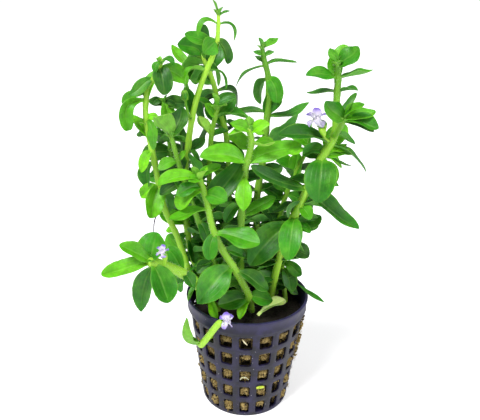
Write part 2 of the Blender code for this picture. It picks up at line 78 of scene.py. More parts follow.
def node(tree, kind, inputs=None, **settings):
    """Adds a shader node. An input is another node, an output of one, a hex colour or a plain value.

    Inputs go by name or number. A MapRange takes its value as 0, the range that this comes from as 1 and 2,
    and the range it goes to as 3 and 4. A Mix of colours takes them as 6 and 7 and the second's share as 0.
    """
    made = tree.nodes.new("ShaderNode" + kind)
    for name, value in settings.items():
        setattr(made, name, value)
    for name, value in (inputs or {}).items():
        if isinstance(value, bpy.types.Node):
            value = next(output for output in value.outputs if output.enabled)
        if isinstance(value, bpy.types.NodeSocket):
            tree.links.new(value, made.inputs[name])
        else:
            made.inputs[name].default_value = linear(value) if isinstance(value, str) else value
    return made


def blank_material(name):
    """An empty material, its node tree, and the socket that gives a place on the piece in metres."""
    made = bpy.data.materials.new(name)
    made.use_nodes = True
    made.node_tree.nodes.clear()
    return made, made.node_tree, node(made.node_tree, "TexCoord").outputs["Object"]


def piece(name, points, faces, finishes, finish_of=None, uvs=None, tints=None):
    """A piece from points in millimetres, smooth shaded and riding on the only body."""
    mesh = bpy.data.meshes.new(name)
    mesh.from_pydata((np.asarray(points, float) * MM).tolist(), [], [tuple(int(k) for k in f) for f in faces])
    for finish in finishes:
        mesh.materials.append(finish)
    if finish_of is not None:
        mesh.polygons.foreach_set("material_index", np.asarray(finish_of, np.int32))
    if uvs is not None:
        corners = np.zeros(len(mesh.loops), np.int32)
        mesh.loops.foreach_get("vertex_index", corners)
        layer = mesh.uv_layers.new(name="blade")
        layer.uv.foreach_set("vector", np.asarray(uvs, np.float32)[corners].ravel())
    if tints is not None:
        mesh.attributes.new("tint", "FLOAT", "POINT").data.foreach_set("value", np.asarray(tints, np.float32))
    mesh.shade_smooth()
    made = bpy.data.objects.new(name, mesh)
    bpy.context.scene.collection.objects.link(made)
    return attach(made, "root")


def weld(made, angle=35):
    """Joins points that neighbouring parts share, turns all faces outwards and keeps the crisp edges."""
    work = bmesh.new()
    work.from_mesh(made.data)
    bmesh.ops.remove_doubles(work, verts=work.verts, dist=0.004 * MM)
    bmesh.ops.recalc_face_normals(work, faces=work.faces)
    work.to_mesh(made.data)
    work.free()
    made.data.set_sharp_from_angle(angle=math.radians(angle))


def polypropylene():
    """Moulded black polypropylene: satin, bluish black, with white specks, a cloudy film of lime, and a
    painted highlight that makes the lip lighter than the lattice.
    """
    made, tree, place = blank_material("moulded_polypropylene")
    cloud = node(tree, "TexNoise", {"Vector": place, "Scale": 1 / (6 * MM), "Detail": 4.0, "Roughness": 0.6})
    film = node(tree, "MapRange", {0: cloud, 1: 0.42, 2: 0.74})
    level = node(tree, "SeparateXYZ", {0: place})
    # Painted highlight: from the lip's foot upwards the pot is painted lighter, standing in for the sheen on
    # the lip.
    lip = node(tree, "MapRange", {0: level.outputs[2], 1: 44.4 * MM, 2: 47.5 * MM, 3: 0.0, 4: 0.5})
    lime_film_and_lip_highlight = node(tree, "Math", {0: film, 1: lip}, operation="ADD", use_clamp=True)
    body = node(tree, "Mix", {0: lime_film_and_lip_highlight, 6: "#0b081a", 7: "#2e2a52"}, data_type="RGBA")
    grain = node(tree, "TexVoronoi", {"Vector": place, "Scale": 1 / (1.6 * MM)})
    speck = node(tree, "MapRange", {0: grain, 1: 0.10, 2: 0.06})
    where = node(tree, "TexNoise", {"Vector": place, "Scale": 1 / (9 * MM), "Detail": 2.0})
    patch = node(tree, "MapRange", {0: where, 1: 0.47, 2: 0.58})
    specks = node(tree, "Math", {0: speck, 1: patch}, operation="MULTIPLY")
    colour = node(tree, "Mix", {0: specks, 6: body, 7: "#cfcbd2"}, data_type="RGBA")
    rough = node(tree, "MapRange", {0: cloud, 1: 0.3, 2: 0.75, 3: 0.3, 4: 0.55})
    flow = node(tree, "TexNoise", {"Vector": place, "Scale": 1 / (0.7 * MM), "Detail": 3.0})
    relief = node(tree, "Bump", {"Height": flow, "Distance": 0.05 * MM, "Strength": 0.4})
    shader = node(tree, "BsdfPrincipled", {"Base Color": colour, "Roughness": rough,
                                           "IOR": 1.49, "Normal": relief})
    node(tree, "OutputMaterial", {"Surface": shader})
    return made


def wall_radius(height):
    """The pot's outer radius at a height below the lip."""
    return BASE_RADIUS + height / LIP_FOOT * (WALL_TOP_RADIUS - BASE_RADIUS)


def cell_loops():
    """Points round a cell of the lattice, from -1 to 1 both ways, and the same points round its hole."""
    side = np.arange(STEPS) * 2 / STEPS - 1
    ones = np.ones(STEPS)
    cell = np.vstack([np.c_[side, -ones], np.c_[ones, side], np.c_[-side, ones], np.c_[-ones, -side]])
    return cell, cell / (np.abs(cell) ** 9).sum(axis=1, keepdims=True) ** (1 / 9)


def skin(points, faces, rings, is_open=lambda ring, k: False):
    """Faces between closed rings of equal size, but for those that are open."""
    start, count = len(points), len(rings[0])
    points.extend(np.vstack(rings))
    for ring in range(len(rings) - 1):
        for k in range(count):
            if not is_open(ring, k):
                a, b = start + ring * count + k, start + ring * count + (k + 1) % count
                faces.append((a, b, b + count, a + count))
    return start


def add_lattice(points, faces):
    """The pierced wall: for every hole, rings from its cell's edge outside through it to the edge inside."""
    cell, hole = cell_loops()
    for row in range(ROWS):
        bottom = FIRST_HOLE + row * ROW_PITCH
        middle = bottom + HOLE_HEIGHT / 2
        ring_half = (ROW_PITCH - HOLE_HEIGHT) / 2
        low = 0.5 if row == 0 else bottom - ring_half
        high = LIP_FOOT if row == ROWS - 1 else bottom + HOLE_HEIGHT + ring_half
        for column in range(COLUMNS):
            centre = 2 * math.pi * column / COLUMNS - math.pi / 2
            rings = []
            for depth, grown in ((0, None), (0, EDGE), (EDGE * 0.3, EDGE * 0.3), (EDGE, 0),
                                 (WALL - EDGE, 0), (WALL, EDGE), (WALL, None)):
                if grown is None:
                    heights = middle + cell[:, 1] * np.where(cell[:, 1] < 0, middle - low, high - middle)
                    angles = centre + cell[:, 0] * math.pi / COLUMNS
                else:
                    heights = middle + hole[:, 1] * (HOLE_HEIGHT / 2 + grown)
                    rib_half = (RIB_WIDTH / 2 - grown) / wall_radius(heights)
                    angles = centre + hole[:, 0] * (math.pi / COLUMNS - rib_half)
                radius = wall_radius(heights) - depth
                rings.append(np.c_[radius * np.cos(angles), radius * np.sin(angles), heights])
            skin(points, faces, rings)


def around(radius, height, drawn_in=1.0):
    """A ring at the lattice's own angles. Drawn in, the points inside each cell leave wider ribs between."""
    shares = np.arange(STEPS) * 2 / STEPS - 1
    shares = np.where(np.abs(shares) < 0.9, shares * drawn_in, shares)
    angles = ((2 * np.arange(COLUMNS)[:, None] + shares) * math.pi / COLUMNS - math.pi / 2).ravel()
    return np.c_[radius * np.cos(angles), radius * np.sin(angles), np.full(len(angles), height)]


def in_slot(ring, k):
    return ring == 1 and k // STEPS % 2 == 0 and 1 <= k % STEPS <= 4


def add_floor(points, faces):
    """The floor's two sides with the slots left open, the slots' walls, and the rounded foot of the pot."""
    sides = []
    for height, shoulder in ((0.0, BASE_RADIUS - 1.0), (FLOOR, wall_radius(0.5) - WALL)):
        rings = [around(shoulder, height), around(SLOT_TO, height, 0.84), around(SLOT_FROM, height, 0.84)]
        start = skin(points, faces, rings, in_slot)
        faces.append(tuple(range(start + 2 * COLUMNS * STEPS, start + 3 * COLUMNS * STEPS)))
        sides.append(rings)
    low, high = sides
    for k in range(COLUMNS * STEPS):
        if in_slot(1, k):
            corners = [(1, k, 1, k + 1), (2, k, 2, k + 1)]
            corners += [(1, k, 2, k)] * (k % STEPS == 1) + [(1, k + 1, 2, k + 1)] * (k % STEPS == 4)
            for ring_a, a, ring_b, b in corners:
                faces.append(tuple(range(len(points), len(points) + 4)))
                points.extend([low[ring_a][a], low[ring_b][b], high[ring_b][b], high[ring_a][a]])
    foot = ((wall_radius(0.5), 0.5), (BASE_RADIUS - 0.05, 0.2), (BASE_RADIUS - 0.3, 0.0),
            (BASE_RADIUS - 1.0, 0.0))
    skin(points, faces, [around(radius, height) for radius, height in foot])
    skin(points, faces, [around(wall_radius(0.5) - WALL, z) for z in (0.5, FLOOR)])


def add_lip(points, faces):
    """The lip: its section goes from the wall outside over a step, up a hollow face and down inside."""
    skin(points, faces, [around(radius, LIP_FOOT + height) for radius, height in LIP_SECTION])


pot_points, pot_faces = [], []
add_lattice(pot_points, pot_faces)
add_floor(pot_points, pot_faces)
add_lip(pot_points, pot_faces)
net_pot = piece("moulded_net_pot", pot_points, pot_faces, [polypropylene()])
weld(net_pot)
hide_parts("net_pot")


# Rockwool. A plug of spun mineral fibre, ochre where it is damp, and nearly black on top, partly with old
# root and algae and partly as painted shade under the leaves. It was pressed into the pot, so it swells into
# the holes, more so towards the bottom.
WOOL_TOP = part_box("rockwool_plug")[1].z / MM
WOOL_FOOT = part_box("rockwool_plug")[0].z / MM
WOOL_GAP = 0.3  # between the plug and the pot's wall
WOOL_AROUND, WOOL_UP, WOOL_ACROSS = 360, 92, 40
LUMP = 1.3  # a tuft's width
ROW_SAG = (0.2, 0.4, 0.8, 1.6, 1.4)  # how low the wool has sunk in the holes of each row, from the bottom
ROW_SWELL = (1.5, 1.6, 1.2, 0.8, 0.7)  # how far it swells into them
# How much further it has sunk in single holes, by column from the middle of the front, and by row.
SUNKEN = {(0, 4): 2.2, (0, 3): 0.8, (17, 3): 0.6, (1, 0): 2.6, (2, 0): 6, (2, 1): 4.5, (16, 4): 1}


def rockwool(name, light, dark, pit_and_recess_shade):
    """Damp rockwool: a matte felt of fibre, with lighter tufts, dark pits and a black top.

    Where it lies deep behind the pot's wall it is painted darker, as shade.
    """
    made, tree, place = blank_material(name)
    tufts = node(tree, "TexNoise", {"Vector": place, "Scale": 1 / (1.5 * MM), "Detail": 5.0,
                                    "Roughness": 0.7})
    tuft = node(tree, "MapRange", {0: tufts, 1: 0.36, 2: 0.66})
    felt = node(tree, "Mix", {0: tuft, 6: dark, 7: light}, data_type="RGBA")
    holes = node(tree, "TexNoise", {"Vector": place, "Scale": 1 / (0.9 * MM), "Detail": 3.0,
                                    "Distortion": 0.6})
    hole = node(tree, "MapRange", {0: holes, 1: 0.46, 2: 0.36})
    pitted = node(tree, "Mix", {0: hole, 6: felt, 7: pit_and_recess_shade}, data_type="RGBA")
    height = node(tree, "SeparateXYZ", {0: place})
    level = node(tree, "CombineXYZ", {0: height.outputs[0], 1: height.outputs[1]})
    radius = node(tree, "VectorMath", {0: level}, operation="LENGTH")
    wall = node(tree, "MapRange", {0: height.outputs[2], 2: LIP_FOOT * MM, 3: (BASE_RADIUS - WALL) * MM,
                                   4: (WALL_TOP_RADIUS - WALL) * MM})
    # Painted shade: the deeper the wool lies behind the wall, the nearer it is painted to the dark pit
    # colour.
    depth = node(tree, "Math", {0: wall, 1: radius}, operation="SUBTRACT")
    recess_shade = node(tree, "MapRange", {0: depth, 1: 0.1 * MM, 2: 1.5 * MM, 3: 0.0, 4: 0.92})
    recess_shaded = node(tree, "Mix", {0: recess_shade, 6: pitted, 7: pit_and_recess_shade}, data_type="RGBA")
    # Nearly black top: partly old root and algae, partly painted shade under the leaves.
    top = node(tree, "MapRange", {0: height.outputs[2], 1: (WOOL_TOP - 2.2) * MM, 2: (WOOL_TOP - 0.6) * MM})
    colour = node(tree, "Mix", {0: top, 6: recess_shaded, 7: "#1c150c"}, data_type="RGBA")
    relief = node(tree, "Bump", {"Height": tufts, "Distance": 0.5 * MM, "Strength": 0.9})
    shader = node(tree, "BsdfPrincipled", {"Base Color": colour, "Roughness": 0.95, "IOR": 1.45,
                                           "Normal": relief})
    node(tree, "OutputMaterial", {"Surface": shader})
    return made


def rough(x, y, z, size):
    """Even noise from -1 to 1, with lumps of a size in millimetres."""
    return noise.noise(Vector((x, y, z)) / size)


def step_between(low, high, value):
    share = min(max((value - low) / (high - low), 0.0), 1.0)
    return share * share * (3 - 2 * share)


def wool_swell(angle, height):
    """How far the wool stands out past its plain radius: into the holes, and nowhere through the wall."""
    pitch = 2 * math.pi / COLUMNS
    turn = (angle + math.pi / 2) / pitch
    column = round(turn)
    half = 0.5 - RIB_WIDTH / 2 / wall_radius(height) / pitch
    row = min(max(round((height - FIRST_HOLE - HOLE_HEIGHT / 2) / ROW_PITCH), 0), ROWS - 1)
    above = height - (FIRST_HOLE + row * ROW_PITCH + HOLE_HEIGHT / 2)
    sag = ROW_SAG[row] + 0.8 * rough(5.3 * column, 2.9 * row, 4.5, 1.0)
    sag = min(sag + SUNKEN.get((column % COLUMNS, row), 0.0), 5.5)
    fade_from = 0.88 if row == ROWS - 1 and above > 0 else 0.4
    inside = (1 - step_between(0.5, 0.97, abs(turn - column) / half)) * (
        1 - step_between(fade_from, 0.97, abs(above - sag * 0.5) / (HOLE_HEIGHT / 2 - sag * 0.5)))
    fullness = ROW_SWELL[row] + 1.3 * rough(7.13 * column, 3.71 * row, 0.5, 1.0)
    x, y = 24 * math.cos(angle), 24 * math.sin(angle)
    lumps = 1.1 * rough(x, y, height, LUMP) + 0.6 * rough(x, y, height, LUMP / 2.6)
    under = 1 - step_between(-0.4, 0.5, above + HOLE_HEIGHT / 2 - sag)
    recess = 1.7 * under * (1 - step_between(0.75, 1.0, abs(turn - column) / half))
    return inside * (fullness + lumps) + (1 - inside) * min(lumps - 0.15, WOOL_GAP * 0.6) - recess


def wool_radius(angle, height):
    return wall_radius(height) - WALL - WOOL_GAP + wool_swell(angle, height)


def outward(angle):
    """The level direction away from the pot's middle line."""
    return np.array([math.cos(angle), math.sin(angle), 0.0])


def cap(points, faces, start, count):
    """Closes the first and the last ring of the points from start on."""
    faces.append(tuple(range(start + count - 1, start - 1, -1)))
    faces.append(tuple(range(len(points) - count, len(points))))


def add_plug(points, faces):
    """The plug's lumpy side, its floor and its hummocky top."""
    turns = np.arange(WOOL_AROUND) * 2 * math.pi / WOOL_AROUND
    edge_top = WOOL_TOP - 0.12
    rings = []
    for height in np.linspace(WOOL_FOOT, edge_top, WOOL_UP):
        rings.append([wool_radius(angle, height) * outward(angle) + (0, 0, height) for angle in turns])
    last = np.array(rings[-1])
    for inner in np.linspace(0.985, 0.02, WOOL_ACROSS):
        ring = last * (inner, inner, 1)
        rise = np.array([0.55 * rough(x, y, 3.0, 2.2) + 0.3 * rough(x, y, 9.0, 0.9) for x, y, _ in ring])
        ring[:, 2] = edge_top + np.minimum(rise * min(1, 12 * (1 - inner)) - 0.25 * (1 - inner ** 6), 0.12)
        rings.append(ring)
    cap(points, faces, skin(points, faces, rings), WOOL_AROUND)


plug_points, plug_faces = [], []
add_plug(plug_points, plug_faces)
plug = piece("spun_rockwool", plug_points, plug_faces,
             [rockwool("spun_rockwool", "#b8a266", "#665026", "#120b05")])
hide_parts("rockwool_plug")


# Loose rockwool fibres. Single spun threads and short tufts that stand off the plug in its holes and on top,
# and a beard of them on the right, where a corner of the plug was pulled out through the holes.
FIBRE_RADIUS, THREAD_RADIUS = 0.055, 0.16  # real fibres are far finer: these are as coarse as shows
WALL_FIBRES, TOP_FIBRES, BEARD_FIBRES, RIM_THREADS = 2600, 1100, 620, 420
UP = np.array([0.0, 0.0, 1.0])


def unit(vector):
    return vector / np.linalg.norm(vector, axis=-1, keepdims=True)


def add_tube(points, faces, curve, radii, sides):
    """A closed tube round a curve, turned as little as possible from one ring to the next."""
    rings = []
    across = np.array([0.9, 0.1, 0.42])
    turns = np.arange(sides) * 2 * math.pi / sides
    for k, centre in enumerate(curve):
        along = unit(curve[min(k + 1, len(curve) - 1)] - curve[max(k - 1, 0)])
        across = unit(across - across @ along * along)
        other = np.cross(along, across)
        rings.append(centre + radii[k] * (np.cos(turns)[:, None] * across + np.sin(turns)[:, None] * other))
    cap(points, faces, skin(points, faces, rings), sides)


def fibre(points, faces, foot, out, chance, length, radius):
    """One loose thread that lies nearly flat on the surface and bends off it a little."""
    flat = unit(np.cross(out, unit(chance.normal(size=3))))
    bend = unit(chance.normal(size=3))
    steps = np.array([0, 0.33, 0.66, 1.0]) * length
    lift = chance.uniform(0.05, 0.4)
    curve = [foot + flat * s + out * (lift * s * (1 - 0.8 * s / length)) + bend * 0.25 * s * s / length
             for s in steps]
    add_tube(points, faces, curve, [radius, radius, radius * 0.8, radius * 0.4], 3)


chance = np.random.default_rng(5)
fibre_points, fibre_faces = [], []
for _ in range(WALL_FIBRES):
    column, row = chance.integers(COLUMNS), chance.integers(ROWS)
    height = FIRST_HOLE + row * ROW_PITCH + HOLE_HEIGHT * (0.5 + 0.38 * chance.uniform(-1, 1))
    half = math.pi / COLUMNS - RIB_WIDTH / 2 / wall_radius(height)
    angle = 2 * math.pi * column / COLUMNS - math.pi / 2 + 0.75 * half * chance.uniform(-1, 1)
    out = outward(angle)
    foot = out * (wool_radius(angle, height) - 0.1) + (0, 0, height)
    fibre(fibre_points, fibre_faces, foot, out, chance, chance.uniform(0.7, 2.0), FIBRE_RADIUS)
for _ in range(TOP_FIBRES):
    angle, radius = chance.uniform(0, 2 * math.pi), 22.0 * math.sqrt(chance.uniform())
    foot = radius * outward(angle) + (0, 0, WOOL_TOP - 0.5)
    fibre(fibre_points, fibre_faces, foot, UP, chance, chance.uniform(1.0, 3.5), FIBRE_RADIUS)
for k in range(BEARD_FIBRES):
    angle = math.radians(chance.normal(0, 12))
    height = chance.uniform(20, 43)
    out = outward(angle)
    foot = out * (wall_radius(height) + chance.uniform(-0.6, 0.7)) + (0, 0, height)
    size = chance.uniform(0.25, 0.6) if k % 4 == 0 else 0.08
    fibre(fibre_points, fibre_faces, foot, unit(out + (0, 0, -0.6)), chance, chance.uniform(0.8, 2.4), size)
for _ in range(RIM_THREADS):
    angle, height = chance.uniform(0, 2 * math.pi), chance.uniform(42.6, 43.4)
    foot = outward(angle) * (wall_radius(height) - WALL - 0.45) + (0, 0, height)
    fibre(fibre_points, fibre_faces, foot, UP, chance, chance.uniform(1.0, 2.2), THREAD_RADIUS)
fibres = piece("rockwool_fibres", fibre_points, fibre_faces,
               [rockwool("loose_rockwool", "#c0aa66", "#8a7038", "#5a4420")])


# Tall stem. The longest shoot, at the back left: a jointed round stem that carries its leaves in opposite
# pairs, each pair crosswise to the next. The stem is pale, soft and a little translucent.
TALL_ROUTE = [(-12, 8, 43), (-19, 7, 52), (-24, 6, 62), (-26, 6, 74), (-27, 5, 89), (-26, 4, 104),
              (-23, 1, 124), (-19, 0, 138), (-14, 0, 150), (-13, 0, 158), (-13, 0, 163)]
# Each row of leaves is one leaf: how high on its stem it grows, the way from there to its tip, its width,
# its arch as a share of its length, its roll in degrees, its tint from young 0 to old 1, and any outline of
# its own.
TALL_LEAVES = [
    (162.8, (-2, -1, 4), 1.6, 0, 0, 0.35), (161, (-1.5, -1, 2), 1.8, 0.1, 15, 0.4),
    (161, (4, 1, 2), 2, 0.1, 15, 0.5), (158.5, (-7, -4, -4), 2.6, 0.42, -30, 0.4, (1.3, 0.5)),
    (158.5, (5.5, 3, -6), 2.4, 0.4, 0, 0.6), (153, (-4.5, -4, -4.5), 7.5, 0.05, -75, 0.5, (1.2, 0.6)),
    (153, (4, 1.5, -8.5), 6, 0.1, 65, 0.95, (0.95, 0.42)), (146, (2.5, 4, -10), 3.5, 0.1, 30, 0.6),
    (142, (-7.5, -4, -6), 5, 0.42, 15, 0.45), (142, (7, 3, -7), 4.5, 0.35, 0, 0.55),
    (89, (5, -4, -9), 6, 0.1, 15, 0.6), (74, (-5, -3, -6), 5, 0.1, -30, 0.6),
    (108, (-2.5, 2, 12), 9, -0.15, 15, 0.85), (108, (7, 2, 7.5), 5, 0.05, 40, 0.85),
    (124, (-3, 3, 11.5), 5.5, 0.05, -20, 0.65), (78, (-11, -2, 5), 8.5, 0.05, -60, 0.25),
    (72, (3, -2, -11.5), 8.5, 0.05, 20, 0.65), (112, (4.5, -2, -5), 3, 0.05, 20, 0.6),
    (150, (-11, -2, 5), 5.5, 0.05, -60, 0.5), (114, (-12, 3, 0), 8.5, 0.05, -20, 0.75),
]
LEAF_THICKNESS = 0.55
BASE_SHARE = 0.28  # the clasping base, as a share of the leaf's width
CUP = math.radians(15)
OWN_NODE = 12.5  # from this length a leaf stands for a node of its own
YOUNG = 6.5  # below this length a leaf is made with fewer points
STEM_SIDES = 12
VEINS = 3.4  # on each side of the midrib
LOWEST_PAIRS = (50, 86)  # the heights between which the plant is densest
EYE = (0.0, -207.0, 165.8)  # the camera's place
# The gaps that show white between the stems, where no small leaf goes: x, z and size.
OPENINGS = [(-22, 136, 4), (-29, 134, 6), (-37, 132, 7), (-43, 126, 6), (-14, 135, 6), (3, 125, 5),
            (9, 124, 6), (24, 126, 5), (30, 120, 5), (-5, 115, 5), (-20, 112, 5), (8, 106, 5), (-36, 78, 10),
            (-30, 79, 8)]


def smooth(route, spans):
    """Points along a smooth curve through the route's own points, with as many spans between two of them."""
    points = np.array(route, float)
    ends = np.vstack([2 * points[0] - points[1], points, 2 * points[-1] - points[-2]])
    curve = []
    for a, b, c, d in zip(ends, ends[1:], ends[2:], ends[3:]):
        for t in np.arange(spans) / spans:
            curve.append(0.5 * (2 * b + (c - a) * t + (2 * a - 5 * b + 4 * c - d) * t ** 2
                                + (3 * b - a - 3 * c + d) * t ** 3))
    return np.array(curve + [points[-1]])


def leaf_blade(name, young, grown, old, rib, margin, roughness, coat, depth):
    """A living leaf's skin: waxy, with a pale midrib, fine veins along it and light that passes through.

    Its tint runs from young and yellowish, by way of full green, to old and bluish.
    """
    made, tree, place = blank_material(name)
    blade = node(tree, "SeparateXYZ", {0: node(tree, "UVMap", uv_map="blade")})
    tint = node(tree, "Attribute", attribute_name="tint").outputs["Fac"]
    first = node(tree, "MapRange", {0: tint, 1: 0.0, 2: 0.5})
    second = node(tree, "MapRange", {0: tint, 1: 0.5, 2: 1.0})
    fresh = node(tree, "Mix", {0: first, 6: young, 7: grown}, data_type="RGBA")
    aged = node(tree, "Mix", {0: second, 6: fresh, 7: old}, data_type="RGBA")
    wide = node(tree, "TexNoise", {"Vector": place, "Scale": 1 / (7.0 * MM), "Detail": 2.0})
    flush = node(tree, "MapRange", {0: wide, 1: 0.46, 2: 0.72, 3: 0.0, 4: 0.22})
    flushed = node(tree, "Mix", {0: flush, 6: aged, 7: margin}, data_type="RGBA")
    cells = node(tree, "TexNoise", {"Vector": place, "Scale": 1 / (2.4 * MM), "Detail": 4.0,
                                    "Roughness": 0.6})
    cloud = node(tree, "MapRange", {0: cells, 1: 0.3, 2: 0.7, 3: 0.72, 4: 1.14})
    mottled = node(tree, "Mix", {0: 1.0, 6: flushed, 7: cloud}, data_type="RGBA", blend_type="MULTIPLY")
    centred = node(tree, "Math", {0: blade.outputs[0], 1: 2.0, 2: -1.0}, operation="MULTIPLY_ADD")
    across = node(tree, "Math", {0: centred}, operation="ABSOLUTE")
    midrib = node(tree, "MapRange", {0: across, 1: 0.02, 2: 0.12, 3: 1.0, 4: 0.0},
                  interpolation_type="SMOOTHSTEP")
    spread = node(tree, "Math", {0: across, 1: VEINS}, operation="MULTIPLY")
    wave = node(tree, "Math", {0: spread, 1: 0.5}, operation="PINGPONG")
    veins = node(tree, "MapRange", {0: wave, 1: 0.0, 2: 0.14, 3: 1.0, 4: 0.0},
                 interpolation_type="SMOOTHSTEP")
    faded = node(tree, "MapRange", {0: blade.outputs[1], 1: 0.45, 2: 0.95, 3: 0.05, 4: 0.01})
    pale = node(tree, "Math", {0: veins, 1: faded}, operation="MULTIPLY")
    rib_fade = node(tree, "MapRange", {0: blade.outputs[1], 1: 0.3, 2: 1.0, 3: 0.2, 4: 0.03})
    rib_pale = node(tree, "Math", {0: midrib, 1: rib_fade}, operation="MULTIPLY")
    lines = node(tree, "Math", {0: pale, 1: rib_pale}, operation="MAXIMUM")
    veined = node(tree, "Mix", {0: lines, 6: mottled, 7: rib}, data_type="RGBA")
    edge = node(tree, "MapRange", {0: across, 1: 0.92, 2: 1.0, 3: 0.0, 4: 0.45})
    base = node(tree, "MapRange", {0: blade.outputs[1], 1: 0.16, 2: 0.0, 3: 0.0, 4: 0.5})
    pale_edge = node(tree, "Math", {0: edge, 1: base}, operation="MAXIMUM")
    colour = node(tree, "Mix", {0: pale_edge, 6: veined, 7: margin}, data_type="RGBA")
    fine = node(tree, "TexNoise", {"Vector": place, "Scale": 1 / (0.8 * MM), "Detail": 2.0})
    ridges = node(tree, "Math", {0: veins, 1: -0.6, 2: fine}, operation="MULTIPLY_ADD")
    relief = node(tree, "Bump", {"Height": ridges, "Distance": depth * MM, "Strength": 0.7})
    gloss = node(tree, "MapRange", {0: cells, 1: 0.3, 2: 0.7, 3: roughness - 0.06, 4: roughness + 0.08})
    shader = node(tree, "BsdfPrincipled", {
        "Base Color": colour, "Roughness": gloss, "IOR": 1.42, "Coat Weight": coat,
        "Coat Roughness": 0.3, "Subsurface Weight": 0.25, "Subsurface Radius": (0.5, 1.0, 0.15),
        "Subsurface Scale": 0.7 * MM, "Normal": relief})
    node(tree, "OutputMaterial", {"Surface": shader})
    return made


def stem_skin(name, foot, tip, streak):
    """A soft stem's skin: pale lime or a deeper green by its tint, with faint streaks along it."""
    made, tree, place = blank_material(name)
    tint = node(tree, "Attribute", attribute_name="tint").outputs["Fac"]
    body = node(tree, "Mix", {0: tint, 6: foot, 7: tip}, data_type="RGBA")
    drawn = node(tree, "Mapping", {"Vector": place, "Scale": (1.0, 1.0, 0.12)})
    lines = node(tree, "TexNoise", {"Vector": drawn, "Scale": 1 / (0.55 * MM), "Detail": 3.0})
    share = node(tree, "MapRange", {0: lines, 1: 0.42, 2: 0.74, 3: 0.0, 4: 0.45})
    colour = node(tree, "Mix", {0: share, 6: body, 7: streak}, data_type="RGBA")
    relief = node(tree, "Bump", {"Height": lines, "Distance": 0.12 * MM, "Strength": 0.5})
    shader = node(tree, "BsdfPrincipled", {
        "Base Color": colour, "Roughness": 0.42, "IOR": 1.40, "Subsurface Weight": 0.4,
        "Subsurface Radius": (0.7, 1.0, 0.2), "Subsurface Scale": 1.2 * MM, "Normal": relief})
    node(tree, "OutputMaterial", {"Surface": shader})
    return made


# What a shoot is finished with. Its faces give these by number: 0 for the stem, 1 above and 2 below a leaf.
LIVING = [
    stem_skin("soft_stem", "#bdf24c", "#3a8414", "#8ed040"),
    leaf_blade("leaf_upper_side", "#84dc14", "#358f08", "#17540a", "#a9dc66", "#8fd63c", 0.44, 0.04, 0.12),
    leaf_blade("leaf_underside", "#a4dd50", "#5cae32", "#3f8038", "#b5e07c", "#a5d768", 0.58, 0.0, 0.14),
]


def outline(share, fullness, taper):
    """Half of the leaf's width. The fuller it is, the further out it is widest. The base clasps the stem."""
    bow = np.clip(np.sin(math.pi * np.clip(share, 0, 1) ** fullness), 0, 1) ** taper
    return np.maximum(bow, BASE_SHARE * np.clip((0.16 - share) / 0.06, 0, 1))


def blade_faces(rows, columns):
    """A leaf's faces, and which are on its upper side, over two grids of points and then the tip.

    The two grids share their outermost columns, which are the leaf's margin.
    """
    above = np.arange(rows * columns).reshape(rows, columns)
    inner = rows * columns + np.arange(rows * (columns - 2)).reshape(rows, columns - 2)
    below = np.hstack([above[:, :1], inner, above[:, -1:]])
    tip = rows * columns + rows * (columns - 2)
    faces, is_upper = [], []
    for index, flip in ((above, False), (below, True)):
        a, b, c, d = index[:-1, :-1], index[1:, :-1], index[1:, 1:], index[:-1, 1:]
        quads = np.stack([a, b, c, d], -1).reshape(-1, 4)
        fan = np.stack([index[-1, :-1], np.full(columns - 1, tip), index[-1, 1:]], -1)
        for group in (quads, fan):
            faces.extend((group[:, ::-1] if flip else group).tolist())
            is_upper.extend([not flip] * len(group))
    faces.append(list(above[0]) + list(below[0, 1:-1][::-1]))
    is_upper.append(True)
    return faces, is_upper


